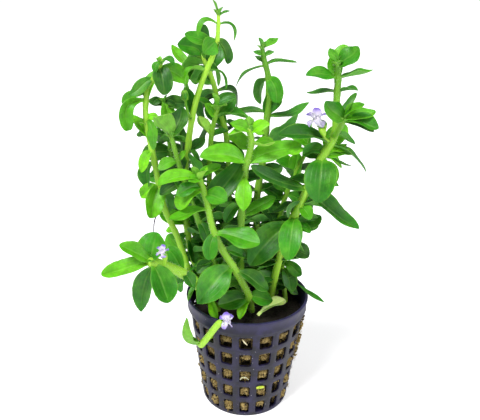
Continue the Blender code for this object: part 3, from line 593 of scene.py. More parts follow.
def blade(base, reach, width, arch, roll, chance, form=None, thickness=LEAF_THICKNESS, teeth=0.03):
    """A leaf: points, faces, which faces are its upper side, and places on the blade.

    The midrib runs from the base to the tip, arched and rolled about its own length. The blade is cupped, its
    margin is wavy with shallow round teeth, the midrib is sunk above and stands out below.
    """
    base, reach = np.array(base, float), np.array(reach, float)
    length = np.linalg.norm(reach)
    steps = 24 if length >= OWN_NODE else 15 if length >= YOUNG else 9
    shares = np.append(np.linspace(0, 0.93, steps), (0.965, 0.985, 0.996))
    half_sides = (0.09, 0.2, 0.38, 0.6, 0.8, 0.93, 1.0) if length >= YOUNG else (0.18, 0.5, 0.85, 1.0)
    half_sides = np.array(half_sides)
    across = np.concatenate([-half_sides[::-1], [0.0], half_sides])
    along = reach / length
    upper = unit(UP - UP @ along * along)
    right = np.cross(upper, along)
    bend = chance.uniform(-0.1, 0.55) * min(1, 11 / length)
    rise = 4 * arch * shares * (1 - shares) + bend * shares * (1 - shares) * (1 - 2 * shares)
    middle = base + shares[:, None] * reach + upper * (length * rise)[:, None]
    slope = 4 * arch * (1 - 2 * shares) + bend * (1 - 6 * shares + 6 * shares ** 2)
    tangent = unit(reach + upper * (length * slope)[:, None])
    normal = unit(np.cross(tangent, right))
    turn = math.radians(roll) + math.radians(chance.normal(0, 11)) * shares[:, None] ** 2
    side = np.cos(turn) * right + np.sin(turn) * normal
    top = np.cos(turn) * normal - np.sin(turn) * right
    cup = CUP * chance.uniform(0.7, 2.6)
    fullness, taper = form or (chance.uniform(1.05, 1.4), chance.uniform(0.5, 0.68))
    count = chance.integers(6, 9)
    phase, waves = chance.uniform(0, 6.3, 2), chance.uniform(0.7, 1.5)
    lean = np.where(across[None, :] < 0, phase[0], phase[1])
    bite = 0.5 - 0.5 * np.cos(2 * math.pi * count * shares)
    scallop = 1 - teeth * np.clip((shares - 0.3) * 4, 0, 1) * bite
    half = (width / 2 * outline(shares, fullness, taper) * scallop)[:, None]
    off = half * across[None, :]
    depth = half * math.sin(cup) * np.abs(across) ** 1.05
    ripple = np.sin(2 * math.pi * waves * shares[:, None] + lean) * np.abs(across) ** 2.2
    depth = depth + 0.095 * width * ripple * np.sin(math.pi * shares)[:, None]
    fade = np.clip(1.15 - shares, 0, 1)[:, None]
    sunk = 0.16 * np.exp(-(off / 0.42) ** 2) * fade * min(1, width / 6)
    keel = 0.30 * np.exp(-(off / 0.46) ** 2) * fade * min(1, width / 6)
    thinned = np.clip(1.25 - shares, 0, 1)[:, None]
    skin_half = thickness / 2 * (0.22 + 0.78 * (1 - np.abs(across) ** 2)) * thinned
    sheet = middle[:, None, :] + side[:, None, :] * (off * math.cos(cup))[:, :, None]
    sheet = sheet + top[:, None, :] * depth[:, :, None]
    above = sheet + top[:, None, :] * (skin_half - sunk)[:, :, None]
    below = sheet - top[:, None, :] * (skin_half + keel)[:, :, None]
    above[:, [0, -1]] = sheet[:, [0, -1]]
    points = np.vstack([above.reshape(-1, 3), below[:, 1:-1].reshape(-1, 3), (base + reach)[None]])
    place = np.stack(np.broadcast_arrays(0.5 + across[None, :] / 2, shares[:, None]), -1)
    places = np.vstack([place.reshape(-1, 2), place[:, 1:-1].reshape(-1, 2), [[0.5, 1.0]]])
    return points, *blade_faces(len(shares), len(across)), places


class Growth:
    """What a shoot is grown from before it becomes one piece: a stem and blades."""

    def __init__(self):
        self.points, self.faces, self.finish, self.places, self.tints = [], [], [], [], []

    def add(self, points, faces, finish, places, tints):
        start = len(self.points)
        self.points.extend(points)
        self.faces.extend([[k + start for k in face] for face in faces])
        self.finish.extend(finish if np.ndim(finish) else [finish] * len(faces))
        self.places.extend(places)
        self.tints.extend(np.broadcast_to(tints, len(points)))

    def add_blade(self, base, reach, width, arch, roll, tint, chance, form=None, upper=1, lower=2, **more):
        points, faces, is_upper, places = blade(base, reach, width, arch, roll, chance, form, **more)
        self.add(points, faces, np.where(is_upper, upper, lower), places, tint)

    def add_stalk(self, curve, radii, tints, finish=0, place=0.0, sides=STEM_SIDES):
        """A tube. All its points have one place on the blade, which only a petal's skin looks at."""
        points, faces = [], []
        add_tube(points, faces, curve, radii, sides)
        self.add(points, faces, finish, np.full((len(points), 2), place), tints)

    def become(self, name, finishes):
        return piece(name, self.points, self.faces, finishes, self.finish, self.places, self.tints)


def point_at(curve, height):
    """Where the stem's middle line is at a height, its direction, and how far along it that is."""
    k = int(np.clip(np.searchsorted(curve[:, 2], height), 1, len(curve) - 1))
    low, high = curve[k - 1], curve[k]
    share = min((height - low[2]) / (high[2] - low[2]), 1.0)
    return low + share * (high - low), unit(high - low), (k - 1 + share) / (len(curve) - 1)


stalks = {}  # where each stem runs and how thick it is, for its hairs


def is_gap(place):
    """Whether a place is seen in a gap of the foliage. The gaps are given as they lie where y is 0."""
    share = EYE[1] / (EYE[1] - place[1])
    x, z = place[0] * share, EYE[2] + (place[2] - EYE[2]) * share
    return any(math.hypot(x - gap_x, z - gap_z) < size for gap_x, gap_z, size in OPENINGS)


def inner_pairs(curve, low, high, chance):
    """Small leaves in the plant's shade, in pairs up a stem, each pair crosswise to the one below."""
    height, turn = low, chance.uniform(0, math.pi)
    while height < high:
        axis = point_at(curve, height)[0]
        for way in (0, math.pi):
            length, lift = chance.uniform(8.0, 12.2), chance.uniform(-0.5, 0.45)
            heading = turn + way + chance.normal(0, 0.25)
            reach = length * unit(np.array([math.cos(heading), math.sin(heading), lift]))
            if not is_gap(axis + 0.6 * reach) and reach[1] > -5:
                yield (height, reach, length * chance.uniform(0.6, 0.8), 0.06, chance.normal(0, 25),
                       chance.uniform(0.6, 1.1))
        height += chance.uniform(3.5, 5.5)
        turn += math.pi / 2 + chance.normal(0, 0.2)


def add_bud(shoot, curve, tip):
    """The two youngest pairs of leaves, still folded together at the stem's very tip."""
    up = unit(curve[-1] - curve[-2])
    for k in range(4):
        turn = 0.6 + k * math.pi / 2
        out = unit(np.cross(up, (math.cos(turn), math.sin(turn), 0.1)))
        shoot.add_blade(curve[-1] - up * 1.8 + out * tip * 0.3, up * (2.0 + 0.35 * k) + out * 1.6,
                        1.8 + 0.15 * tip, 0.1, 0, 0.1 + 0.15 * k, np.random.default_rng(k))


def grow(name, route, foot, tip, leaves, tint, inner=None, rooted=(0, 0, -3)):
    """One shoot. The stem thickens at its joints. A long leaf is a piece that stands for its own node."""
    chance = np.random.default_rng(sum(map(ord, name)))
    coarse, curve = smooth(route, 2), smooth(route, 8)
    curve = np.vstack([curve[0] + np.array(rooted, float), curve])
    joints = np.array([row[0] for row in leaves])
    shares = np.linspace(0, 1, len(curve))
    swell = np.exp(-((curve[:, 2:3] - joints[None, :]) / 0.9) ** 2).max(axis=1)
    radii = (foot + (tip - foot) * shares ** 3) / 2 * (0.96 + 0.16 * swell)
    radii[-1] *= 0.6
    shoot = Growth()
    shoot.add_stalk(curve, radii, tint[0] + (tint[1] - tint[0]) * np.repeat(shares, STEM_SIDES) ** 2)
    stalks[name] = (curve, radii)
    add_bud(shoot, curve, tip)
    number = 0
    for height, reach, width, arch, roll, own, *form in leaves:
        reach = np.array(reach, float)
        length = np.linalg.norm(reach)
        own = float(np.clip(own + chance.normal(0, 0.04), 0, 1))
        axis, along, share = point_at(coarse, height)
        if length < OWN_NODE:
            shoot.add_blade(axis, reach, width, arch, roll, own, chance, *form)
            continue
        number += 1
        clear = unit(reach - reach @ along * along) * (foot + share ** 3 * (tip - foot)) * 0.3
        single = Growth()
        single.add_blade(axis + clear, reach - clear, width, arch, roll, own, chance, *form, upper=0,
                         lower=1)
        leaf = single.become(f"{name}_leaf_{number}", LIVING[1:])
        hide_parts(f"leaf_{name}_{number}")
    pairs = [(inner, chance), (LOWEST_PAIRS, np.random.default_rng(1))] if inner else []
    for (low, high), draws in pairs:
        for height, reach, width, arch, roll, own in inner_pairs(curve, low, high, draws):
            shoot.add_blade(point_at(curve, height)[0], reach, width, arch, roll, min(own, 1.0), draws)
    stem = shoot.become(f"{name}_shoot", LIVING)
    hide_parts(f"stem_{name}")


# Its tint is a deeper green towards the foot, as painted shade on the stem's lower part.
grow("tall", TALL_ROUTE, 2.8, 1.0, TALL_LEAVES, tint=(0.35, 0.0), inner=(46, 118))


# Leaning stem. It rises behind the tall one and bends over to the left near its top, where broad leaves
# droop. Its back carries single leaves that only show from behind.
LEANING_ROUTE = [(-1, 13, 43), (-5, 14, 57), (-8, 14, 75), (-10, 13, 112), (-13, 12, 125), (-16, 10, 138),
                 (-20, 8, 147)]
LEANING_LEAVES = [
    (140, (-15.5, 6.5, 10), 5, -0.1, -45, 0.12, (2.2, 0.7)), (146, (-9, -4, 5), 8.5, 0.15, -75, 0.5),
    (145, (-5.5, 1, -2.5), 6.5, 0.2, 60, 0.9), (145, (3.5, 4, 3), 5, 0, 30, 0.9),
    (144, (-6, -2.5, -9.5), 8, 0.4, 30, 0.45), (142, (-4.5, -2.5, -6), 7, 0.2, 45, 0.62),
    (133, (-4, -2.5, -10), 6.5, 0.35, 45, 0.9), (133, (8, 3, -8.8), 6.5, 0.42, 20, 0.95),
    (112, (6, -3, -8), 6, 0.1, 15, 0.8), (90, (-4, -5, -8), 6, 0.1, -30, 0.9),
    (120, (3, 8, -3), 6, 0.1, 0, 0.9), (100, (-4, 8, -3), 6.5, 0.1, 0, 0.9), (80, (2, 9, -2), 7, 0.1, 0, 0.9),
    (62, (-4, 9, -2), 7, 0.1, 0, 0.9), (146, (0.5, 2, 12), 5, 0, 15, 0.95, (1.3, 0.5)),
    (72, (6.5, -3, 3.5), 7, 0, 60, 0.9), (131, (-5, 2.5, -10.8), 9, 0.3, -60, 0.95),
    (118, (-9, 2, -8), 9, 0.3, 0, 0.95), (114, (10.5, 3, -5), 8.5, 0.05, 60, 0.15),
    (140, (3, 3, 11.5), 8.5, 0.05, 60, 0.7), (118, (-7.5, 3, 9), 8.5, 0.05, -60, 0.65),
    (136, (-11, -2, 5), 8.5, 0.05, -60, 0.6),
]
grow("leaning", LEANING_ROUTE, 2.3, 1.7, LEANING_LEAVES, tint=(0.75, 0.0), inner=(48, 120))


# Back stem. A thinner shoot that ends among the leaves of the others. Its leaves spread at its tip, and those
# further down are darker.
BACK_ROUTE = [(-6, 11, 43), (-13, 14, 60), (-17, 12, 90), (-16, 5, 115), (-13, 1, 129)]
BACK_LEAVES = [
    (128.6, (-2, -2, 5.5), 5, 0, -30, 0.3), (128, (7, 0, 4.5), 5, 0.05, 30, 0.6),
    (127, (2, -5.5, 3), 6.5, 0.1, 0, 0.3), (125, (-7.5, 1.5, 6.5), 5, 0.05, -15, 0.4),
    (125, (13, -1, -0.5), 6, 0.1, 15, 0.5), (116, (-4.5, -4, 9), 6, -0.05, 30, 0.02, (1.15, 0.45)),
    (116, (6, 5, 2), 5, 0, 15, 0.5), (102, (7, -2, -6), 6, 0.1, 15, 0.7), (100, (-4, 6, 3), 5, 0.1, -30, 0.7),
    (90, (-5, -5, -7), 6, 0.1, -15, 0.8), (75, (6, -4, -7), 6, 0.1, 15, 0.9),
    (68, (-8, -3, 3), 8, 0, -60, 0.9), (124, (-3.5, -2, 6), 4.5, 0, -60, 0.3),
    (93, (8, -2, 3), 7, 0.05, 30, 0.6), (124, (7.5, 3, 9), 8.5, 0.05, 60, 0.6),
    (78, (8.5, -2, -4), 4.5, 0.05, 20, 0.9),
]
grow("back", BACK_ROUTE, 2.5, 1.6, BACK_LEAVES, tint=(0.6, 0.6), inner=(50, 112))


# Arching stem. The leftmost tall shoot: it bows outwards, and its long leaves hang down along it as they do
# on a shoot that has dried a little.
ARCHING_ROUTE = [(-17, 4, 43), (-23.5, 0, 56), (-26.5, -2, 66), (-29.5, -3, 77), (-34, -5, 90),
                 (-37, -5, 108), (-40, -3, 125), (-39, -2, 135), (-36, -2, 140), (-33, -4, 146)]
ARCHING_LEAVES = [
    (145.5, (-2, -2, -4), 3, 0.25, -30, 0.5), (145.7, (4, 1, -2), 2.6, 0.4, 60, 0.6),
    (139, (-9, -3, -5.5), 5, 0, -60, 0.5, (1, 0.7)), (143, (2.5, -5, -9), 8, 0.15, 15, 0.9, (1, 0.5)),
    (143, (10, 4, -6), 7.5, 0.1, 75, 0.3), (131, (-6, -5, -10.5), 6.5, 0.38, -75, 0.4, (1.7, 0.38)),
    (122, (-5, -2, 1), 3.5, 0.1, -30, 0.15), (119, (-5, 2, -1), 3, 0, -45, 0.9),
    (124, (3, -4.5, -10.5), 5, 0.3, 60, 0.35), (112, (-3.5, -5, -7), 5, 0.15, -30, 0),
    (108, (-3.5, 1.5, -11), 7, 0.15, -80, 0.65), (98, (-2.5, -7, -10.5), 10, 0.1, -45, 0.22, (0.9, 0.5)),
    (98, (-8, 2, -5), 6, 0.1, -75, 0.2), (97, (2.5, 3.5, -11), 6, 0.13, -20, 0.7),
    (123, (5, -2, 1.5), 4, 0.25, 45, 0.05), (66, (-7.5, 3, 9), 8.5, 0.05, -60, 0.35),
    (116, (-7.5, 3, 9), 5.5, 0.05, -20, 0.1), (62, (-3, -2, -11.5), 8.5, 0.05, -20, 0.6),
    (134, (-10.5, 3, -5), 5.5, 0.05, -60, 0.35), (130, (3, 3, 11.5), 5.5, 0.05, 20, 0.2),
    (78, (-4, 3, 0), 3.5, 0.05, -60, 0.1),
]
grow("arching", ARCHING_ROUTE, 2.6, 1.5, ARCHING_LEAVES, tint=(0.25, 0.3))


# Inner stem. A shorter shoot in front of the arching one. Its two top leaves are large and cupped round its
# tip, one light and one dark.
INNER_ROUTE = [(-7, 2, 43), (-14, -2, 65), (-20, -6, 84), (-26, -8, 104), (-30, -9, 120)]
INNER_LEAVES = [
    (119, (-4.5, -5, 8), 10, 0.02, 40, 0.3, (1, 0.5)), (119, (3.5, 4, 10.5), 9, -0.1, 30, 0.8, (0.95, 0.5)),
    (109, (-7, -4, -2), 5, 0.15, -45, 0.35), (109, (2.5, 3, 4), 3, 0, 15, 0.15),
    (96, (7, 1, -5), 6, 0.1, 15, 0.75), (96, (-6, -2, 7), 6, 0, -30, 0.75),
    (84, (5, -5, -8), 6, 0.1, 15, 0.75), (65, (-7, -5, -3), 6, 0.1, -45, 0.9),
    (73, (8, -2, 3), 7, 0, 60, 0.9), (104, (-9, 2, 0.5), 8, 0.1, -45, 0.95),
]
grow("inner", INNER_ROUTE, 2.5, 1.7, INNER_LEAVES, tint=(0.75, 0.75), inner=(50, 114))


# Dark stem. The old shoot furthest back at the left, thin and in the shade of the others. Nearly all
# its leaves are old and bluish green.
DARK_ROUTE = [(-12, 13, 43), (-20, 15, 60), (-28, 15, 80), (-34, 16, 108), (-36, 14, 129)]
DARK_LEAVES = [
    (127, (-4, -2, 0), 2.5, 0.2, -45, 0.9), (127, (5, -1, -1), 3, 0.2, 60, 0.9),
    (128, (7, 5, 0), 3.5, 0.1, 0, 0.9), (110, (6, 2, -8), 6, 0.1, 15, 0.9), (108, (4, 2, 9), 6, 0, -30, 0.9),
    (92, (7, 2, 6), 7, 0.1, 30, 0.9), (80, (-6, 4, -6), 6, 0.1, -30, 0.9), (118, (-3, 6, -3), 5, 0.1, 0, 0.9),
    (70, (-3, 8, 2), 6, 0.1, 0, 0.9), (112, (-6, 3, 2.5), 9, 0, -110, 0.8),
    (126, (-6, -1, 2.5), 4.6, 0.07, -60, 0.95), (126, (9, 1, 1), 7, 0.08, 60, 0.95),
    (106, (-12, -2, 0), 8.5, 0.05, -60, 0.8), (96, (-12, -2, 0), 8.5, 0.05, -60, 0.6),
    (128, (2.5, -2, -9), 6.5, 0.05, 20, 0.3),
]
grow("dark", DARK_ROUTE, 2.1, 1.2, DARK_LEAVES, tint=(0.8, 0.8), inner=(52, 118))


# Front stem. A leafy shoot, the nearest at the middle left. It leans to the front left, and one of its lower
# leaves is as broad as any on the plant.
FRONT_ROUTE = [(2, -4, 43), (1, -9, 52), (-1.5, -11, 59), (-6, -14, 69), (-9.5, -16, 76), (-13.5, -18, 86),
               (-16, -17, 97), (-19, -17, 107)]
FRONT_LEAVES = [
    (106.4, (8, 2, 4), 5, 0, 45, 0.35), (106.6, (-2, -2, 4), 3, 0, 30, 0.15),
    (105, (-14.5, -5, -1), 7.5, 0.15, -30, 0.15), (102, (-9, -6, -1), 6, 0.1, -30, 0.55),
    (99, (8.5, -5, 0), 8, 0.06, 55, 0.42, (1.4, 0.5)), (105, (-5, 8, 8), 6, 0, 15, 0.8),
    (101, (-8.5, -4, -6.5), 8, 0.25, -30, 0.2), (94, (-13.5, -8, -1.5), 7, 0, -10, 0.38),
    (94, (12, 7, 17), 10, 0, 30, 0.8, (0.95, 0.5)), (84, (17, -5, -1), 10, 0.02, 30, 0.48, (1.5, 0.5)),
    (84, (-2, -4, -9), 7, 0.15, -30, 0.5), (77, (9, 6, -6), 6.5, 0.05, 45, 0.65),
    (69, (-13, -11, -11), 13, 0.06, -45, 0.5, (1, 0.8)), (66, (13, -3, -6), 8, 0.02, 30, 0.9, (1.2, 0.55)),
    (51, (-13, -5, 0), 10, 0.05, -40, 0.8), (52, (9.5, -3, 1), 7.5, 0.05, 45, 0.6),
    (50, (-4, -8, -4), 5, 0.1, 15, 0.05), (105, (3, -4, 5), 5, 0.05, 20, 0.05),
    (104, (-4, -5, 2), 5, 0.1, -30, 0.3),
]
grow("front", FRONT_ROUTE, 3.0, 2.1, FRONT_LEAVES, tint=(0.5, 0.55))


# Middle stem. A bright young shoot that stands free in front, with a star of small leaves at its tip and two
# long ones spread like wings below.
MIDDLE_ROUTE = [(-2, 5, 43), (-3, -3, 68), (-3, -9, 90), (-2, -12, 107), (0, -13, 118), (-1, -13, 124)]
MIDDLE_LEAVES = [
    (123.4, (0, -1, 5), 4.5, 0, 0, 0.25, (1, 0.85)), (123, (-7, -2, 3), 5.5, 0, -60, 0.2, (1, 0.8)),
    (122, (-8, -4, 0), 5, 0.1, -15, 0.05, (1, 0.85)), (122, (7, -3, 4), 5.5, 0.1, 60, 0.05, (1, 0.85)),
    (118, (8, 2, 1), 4, 0, 15, 0), (111, (-17, -6, 3), 10, 0.1, -40, 0.3, (1, 0.7)),
    (111, (20, 4, 6), 9, 0.05, 40, 0.3, (1, 0.55)), (105, (0, -10, -10), 7, 0.16, 15, 0.2, (1.3, 0.8)),
    (88, (13, 2, 7.5), 7.5, 0, 30, 0.42, (1.3, 0.65)), (93, (-6, -4, -6), 6, 0.2, -45, 0.8),
    (80, (3, 1, -8), 6, 0.1, 15, 0.55), (68, (-7, -5, -6), 7, 0.1, -30, 0.7),
    (75, (8, -3, 0), 7.5, 0, 60, 0.9), (118.5, (8.5, -4.5, 1.5), 3, -0.12, -20, 0),
    (103, (6, 3, 0.5), 6, 0.14, 40, 0.95),
]
grow("middle", MIDDLE_ROUTE, 2.9, 2.0, MIDDLE_LEAVES, tint=(0.75, 0.5), inner=(48, 100))


# Second stem. A straight, stiff shoot behind the middle, with a small dark tip, two hanging leaves under it
# and a pair that spreads wide and level.
SECOND_ROUTE = [(7, 10, 43), (4, 8, 66), (3, 9, 88), (5, 8, 108), (6, 8, 124), (6, 7, 138), (4, 6, 146),
                (3, 6, 151)]
SECOND_LEAVES = [
    (150, (-1.5, -1, 4), 3, 0, 0, 0.75, (1.1, 0.7)), (150, (6, 1, 4), 4, -0.05, 45, 0.4, (1, 0.95)),
    (144.5, (-4, 1, 2.5), 2.5, 0, -30, 0.95), (147, (-4, -2, 2), 3, 0, -45, 0.55),
    (147, (4, -1, 2), 3, 0, 45, 0.55), (144, (-11, -2, -8), 4, 0.15, 10, 0.8),
    (144, (12, 2, 1), 3.5, 0.08, 0, 0.6), (139, (-2.5, 3.5, -10.5), 5.5, 0.3, 0, 0.8, (1.1, 0.55)),
    (139, (3.5, -5, -8.5), 6.5, 0.2, 45, 0.5, (1.2, 0.35)), (126, (-17, 1, -2), 6, 0.03, -15, 0.6),
    (124.5, (16.5, 3, 5), 7, -0.12, 15, 0.6, (1, 0.6)),
    (112, (12.5, -4, 14), 10.5, -0.12, -35, 0.75, (1, 0.6)), (88, (8, -3, -8), 8, 0.1, 30, 0.9),
    (84, (-7, -4, -8), 7, 0.1, -30, 0.9), (68, (8, -5, -5), 8, 0.1, 30, 0.9),
    (64, (-8, -4, -3), 7, 0.1, -30, 0.9), (106, (-5, 8, 2), 6, 0.1, 0, 0.9), (95, (4, 8, -3), 7, 0.1, 0, 0.9),
    (76, (-3, 9, -3), 7, 0.1, 0, 0.9), (100, (9, 3, 3), 7, 0, 45, 0.9),
    (94, (10.5, 3, -5), 8.5, 0.05, 60, 0.95), (124, (3, 3, 11.5), 8.5, 0.05, 60, 0.55),
    (84, (4, 3, -5), 5, 0.05, 60, 0.95), (118, (-4.5, -2, 0), 3.5, 0.05, -60, 0.05),
]
grow("second", SECOND_ROUTE, 3.0, 1.4, SECOND_LEAVES, tint=(0.6, 0.95), inner=(48, 118))


# Right stem. The thickest of the standing shoots. It leans to the right, and its long firm leaves are dark
# and bluish.
RIGHT_ROUTE = [(10, 4, 43), (12.5, -1, 64), (16, -4, 81), (21, -6, 96), (26, -6, 110), (31, -5, 120),
               (31, -4, 130), (31, -3, 140), (30, -5, 147)]
RIGHT_LEAVES = [
    (145, (6, -3, 7.5), 8.5, -0.05, 60, 0.6, (1.35, 0.5)), (146.4, (-3, 1, 5), 4, 0, -75, 0.45, (1.2, 0.7)),
    (141, (-12, -4, 1), 7, 0.08, -30, 0.55), (141, (13, 2, 3), 6, -0.02, 0, 0.5, (1, 0.8)),
    (136, (-11, 3, -1), 5, 0, 0, 0.7), (136, (7, -3, 1), 4, 0.08, 0, 0.7),
    (121, (8.5, 2, -4.5), 5, 0, 30, 0.6), (117, (-20, -6, 4.5), 8.5, 0.06, -30, 0.85, (1, 0.65)),
    (117, (15.5, 4, -12), 5.5, 0.1, 10, 0.75), (111, (-1, -10, -14), 13, 0.2, 0, 0.72, (0.95, 0.6)),
    (111, (-6, 6, 2), 6, 0.1, -60, 0.95), (112, (9, 2, 1), 5.5, 0, 30, 0.3), (110, (7, 2, -6), 5, 0, 30, 0.3),
    (112, (12, 3, -4), 3, 0, 0, 0.8), (99, (-22, -8, 11), 8.5, -0.06, -30, 0.9, (1, 0.5)),
    (99, (20.5, -5, -14), 10, -0.06, 35, 0.72, (0.85, 0.5)),
    (84, (12, 4, 2), 8, -0.08, 40, 0.75, (1.1, 0.55)), (92, (4, -5, -4), 6, 0.1, 30, 0.35),
    (84, (-16, -9, -15), 13, 0.08, -45, 0.8, (1.1, 0.6)), (87, (-2.5, -13, -13), 9.5, 0.15, 0, 0.5),
    (70, (5, 8, 3), 7, 0, 0, 0.9), (113, (-8, 2, -1), 7.5, 0.2, -40, 0.6),
    (93, (-4.5, -3, -5), 8, 0.3, 45, 1), (113, (9, 4, 3), 3, 0, 30, 0.1),
    (114, (9.5, 3, 0.5), 2.5, 0, 30, 0.1), (112, (8, 2, -5), 5, 0.1, 30, 0.05),
    (140, (-2.5, 3, 8.5), 6.5, 0.05, -60, 0.35), (144, (2.5, 3, 8.5), 6.5, 0.05, 20, 0.15),
    (82, (12, 3, 0), 5.5, 0.05, 60, 0.6),
]
grow("right", RIGHT_ROUTE, 3.3, 2.2, RIGHT_LEAVES, tint=(0.2, 0.95), inner=(48, 104))


# Fork. A short side shoot that branches off the right stem near its top and ends in a tuft of leaves. Three
# more spread just below the place where it springs.
FORK_ROUTE = [(31, -7.6, 121), (32, -10, 124), (33, -12, 128)]
FORK_LEAVES = [
    (127.2, (-7.5, -5, 7.5), 8.5, -0.05, -75, 0.7), (127.8, (4, 2, 9), 6, 0, 0, 0.8),
    (127, (11, -1, 4), 6.5, 0, 30, 0.35), (126.6, (12, -5, -1), 7.5, 0.08, 30, 0.6),
    (127.8, (6, -4, 6), 4.5, 0.1, 45, 0.4), (126.4, (11, -3, -2.5), 6, 0.05, 20, 0.8),
    (114, (7.5, 3, 9), 8.5, 0.05, 60, 0.2), (108, (7.5, -2, -9), 8.5, 0.05, 60, 0.3),
    (112, (12, -2, 0), 8.5, 0.05, 20, 0.25),
]
grow("fork", FORK_ROUTE, 2.2, 1.8, FORK_LEAVES, tint=(0.8, 0.6), rooted=(-0.3, 2.4, -1.2))


# Slim stem. A thin shoot at the back right that only shows between the others, with leaves of every age
# close along it.
SLIM_ROUTE = [(13, 12, 43), (12, 10, 66), (13, 8, 82), (16, 7, 95), (23, 6, 113)]
SLIM_LEAVES = [
    (100, (1, 2, 10), 7, 0, 15, 0.4), (112, (-7, -3, -2), 4, 0, -15, 0.1),
    (112, (1, 1, 10), 4.5, 0, -30, 0.2), (82, (8, 3, -6), 7, 0.1, 30, 0.8), (66, (7, 4, -6), 7, 0.1, 30, 0.8),
    (74, (-6, 3, 6), 6, 0, -30, 0.8), (92, (-7, 1, 7), 6, 0, -30, 0.8), (98, (4, 8, -3), 6, 0.1, 0, 0.8),
    (73, (4, 8, 3), 6, 0, 0, 0.8), (99, (-7.5, -1, 7.5), 10, 0.08, -20, 0.45),
    (97, (3.5, 0, 10.5), 6, -0.15, -55, 0.15), (92, (11, -2, -5), 8.5, 0.05, 60, 0.6),
    (112, (-7.5, 3, 9), 8.5, 0.05, -60, 0.4),
]
grow("slim", SLIM_ROUTE, 2.4, 1.6, SLIM_LEAVES, tint=(0.6, 0.6), inner=(48, 104))


# Low stem. A short shoot at the right that has only begun to rise, with one narrow leaf that reaches out
# over the pot's rim.
LOW_ROUTE = [(17, 5, 43), (16, 8, 50), (15, 6, 57), (15, 4, 62)]
LOW_LEAVES = [
    (61.6, (8, -4, -3), 6, 0.1, 60, 0.7), (59, (4, -7, -8), 7, 0.15, 15, 0.85),
    (61.6, (8, 4, 6), 4, 0, -30, 0.05), (59, (-9, 2, 2), 6, 0.1, -30, 0.8),
    (54.5, (16.5, -16, -3.5), 3, 0, 0, 0.7, (2.2, 0.7)),
]
grow("low", LOW_ROUTE, 2.3, 1.6, LOW_LEAVES, tint=(0.3, 0.3))


# Trailing stem. It creeps out of the pot at the front left, thick and finely hairy, and ends in a loose
# rosette, two leaves of which hang down.
TRAILING_ROUTE = [(-13, -4, 43), (-17, -10, 53), (-19, -15, 60), (-21, -21, 66), (-25, -28, 73),
                  (-30, -33, 78), (-35, -36, 81)]
TRAILING_LEAVES = [
    (80.8, (-16, -4, -3.5), 7.5, 0, -40, 0.25, (1, 0.45)),
    (80.6, (-10, -2, 7), 7, 0.02, -40, 0.3, (1.1, 0.5)), (80.6, (2, 4, 9.5), 11, 0, 20, 0.5, (1.3, 0.5)),
    (79.6, (-7, 4, -22.5), 9, 0.08, -110, 0.62, (1, 0.8)),
    (80, (6, -6, -12.5), 12, 0.04, 15, 0.72, (1.15, 0.6)), (72, (5, -3, -5), 6, 0.1, 15, 0.8),
    (72, (-6, 5, 8), 8, 0.1, -45, 0.5), (66, (-7.5, 3, -4.5), 5, 0.1, -30, 0.75),
    (60, (-5, 3, -8.5), 5.5, 0.1, -30, 0.45), (50, (4, -9.5, -4), 4.5, 0.1, 35, 0),
]
grow("trailing", TRAILING_ROUTE, 4.0, 3.2, TRAILING_LEAVES, tint=(0.35, 0.3))


# Side shoot. It has grown out through a hole of the top row at the front left: a pale, nearly yellow shoot
# with one broad leaf that stands up beside the wall.
SIDE_ROUTE = [(-10, -12, 36), (-15.4, -18.4, 38.6), (-18.4, -21.4, 37.5)]
side = Growth()
side_curve = smooth(SIDE_ROUTE, 8)
side.add_stalk(side_curve, np.linspace(0.95, 1.1, len(side_curve)), 0.0)
side.add_blade(side_curve[-1], (-4.8, -3, 13.8), 9, -0.3, 10, 0.3, np.random.default_rng(3), (0.8, 0.42))
side_shoot = side.become("side_shoot", LIVING)
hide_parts("shoot_side")


# Old leaf. A fallen leaf that lies on the rockwool at the front right. It has lost most of its green, so
# light passes through it and it shines a yellowish lime.
old_finish = [
    leaf_blade("yellowed_upper_side", "#dcff90", "#dcff90", "#bcf460", "#f2ffb4", "#eeffa0", 0.45, 0.1, 0.08),
    leaf_blade("yellowed_underside", "#dcff9c", "#dcff9c", "#bcf470", "#f2ffc0", "#ecfca4", 0.55, 0.0, 0.08),
]
fallen = Growth()
fallen.add_blade((4.8, -10.5, 44.6), (11.6, 9.5, 2.4), 6.5, 0.06, 20, 0.2, np.random.default_rng(4),
                 (1.8, 0.55), upper=0, lower=1)
old_leaf = fallen.become("fallen_leaf", old_finish)
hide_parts("leaf_old")


# Flowers. Each has five pale lilac petals that spread from a short white tube, five narrow green sepals round
# the tube's foot, four stamens, and a stalk that springs from a leaf's axil.
FLOWER_RIGHT = [(27, -7.2, 119.5), (26.4, -8.5, 121.5), (25, -9, 125), (23.6, -10, 126.8)]
FLOWER_TRAILING = [(-29.2, -36.8, 80), (-28.6, -38, 83), (-29.3, -38.5, 85.5)]
FLOWER_SIDE = [(-17.4, -23.2, 38.6), (-14, -25.6, 45), (-10.6, -27.6, 51), (-7.9, -28.6, 52.9)]


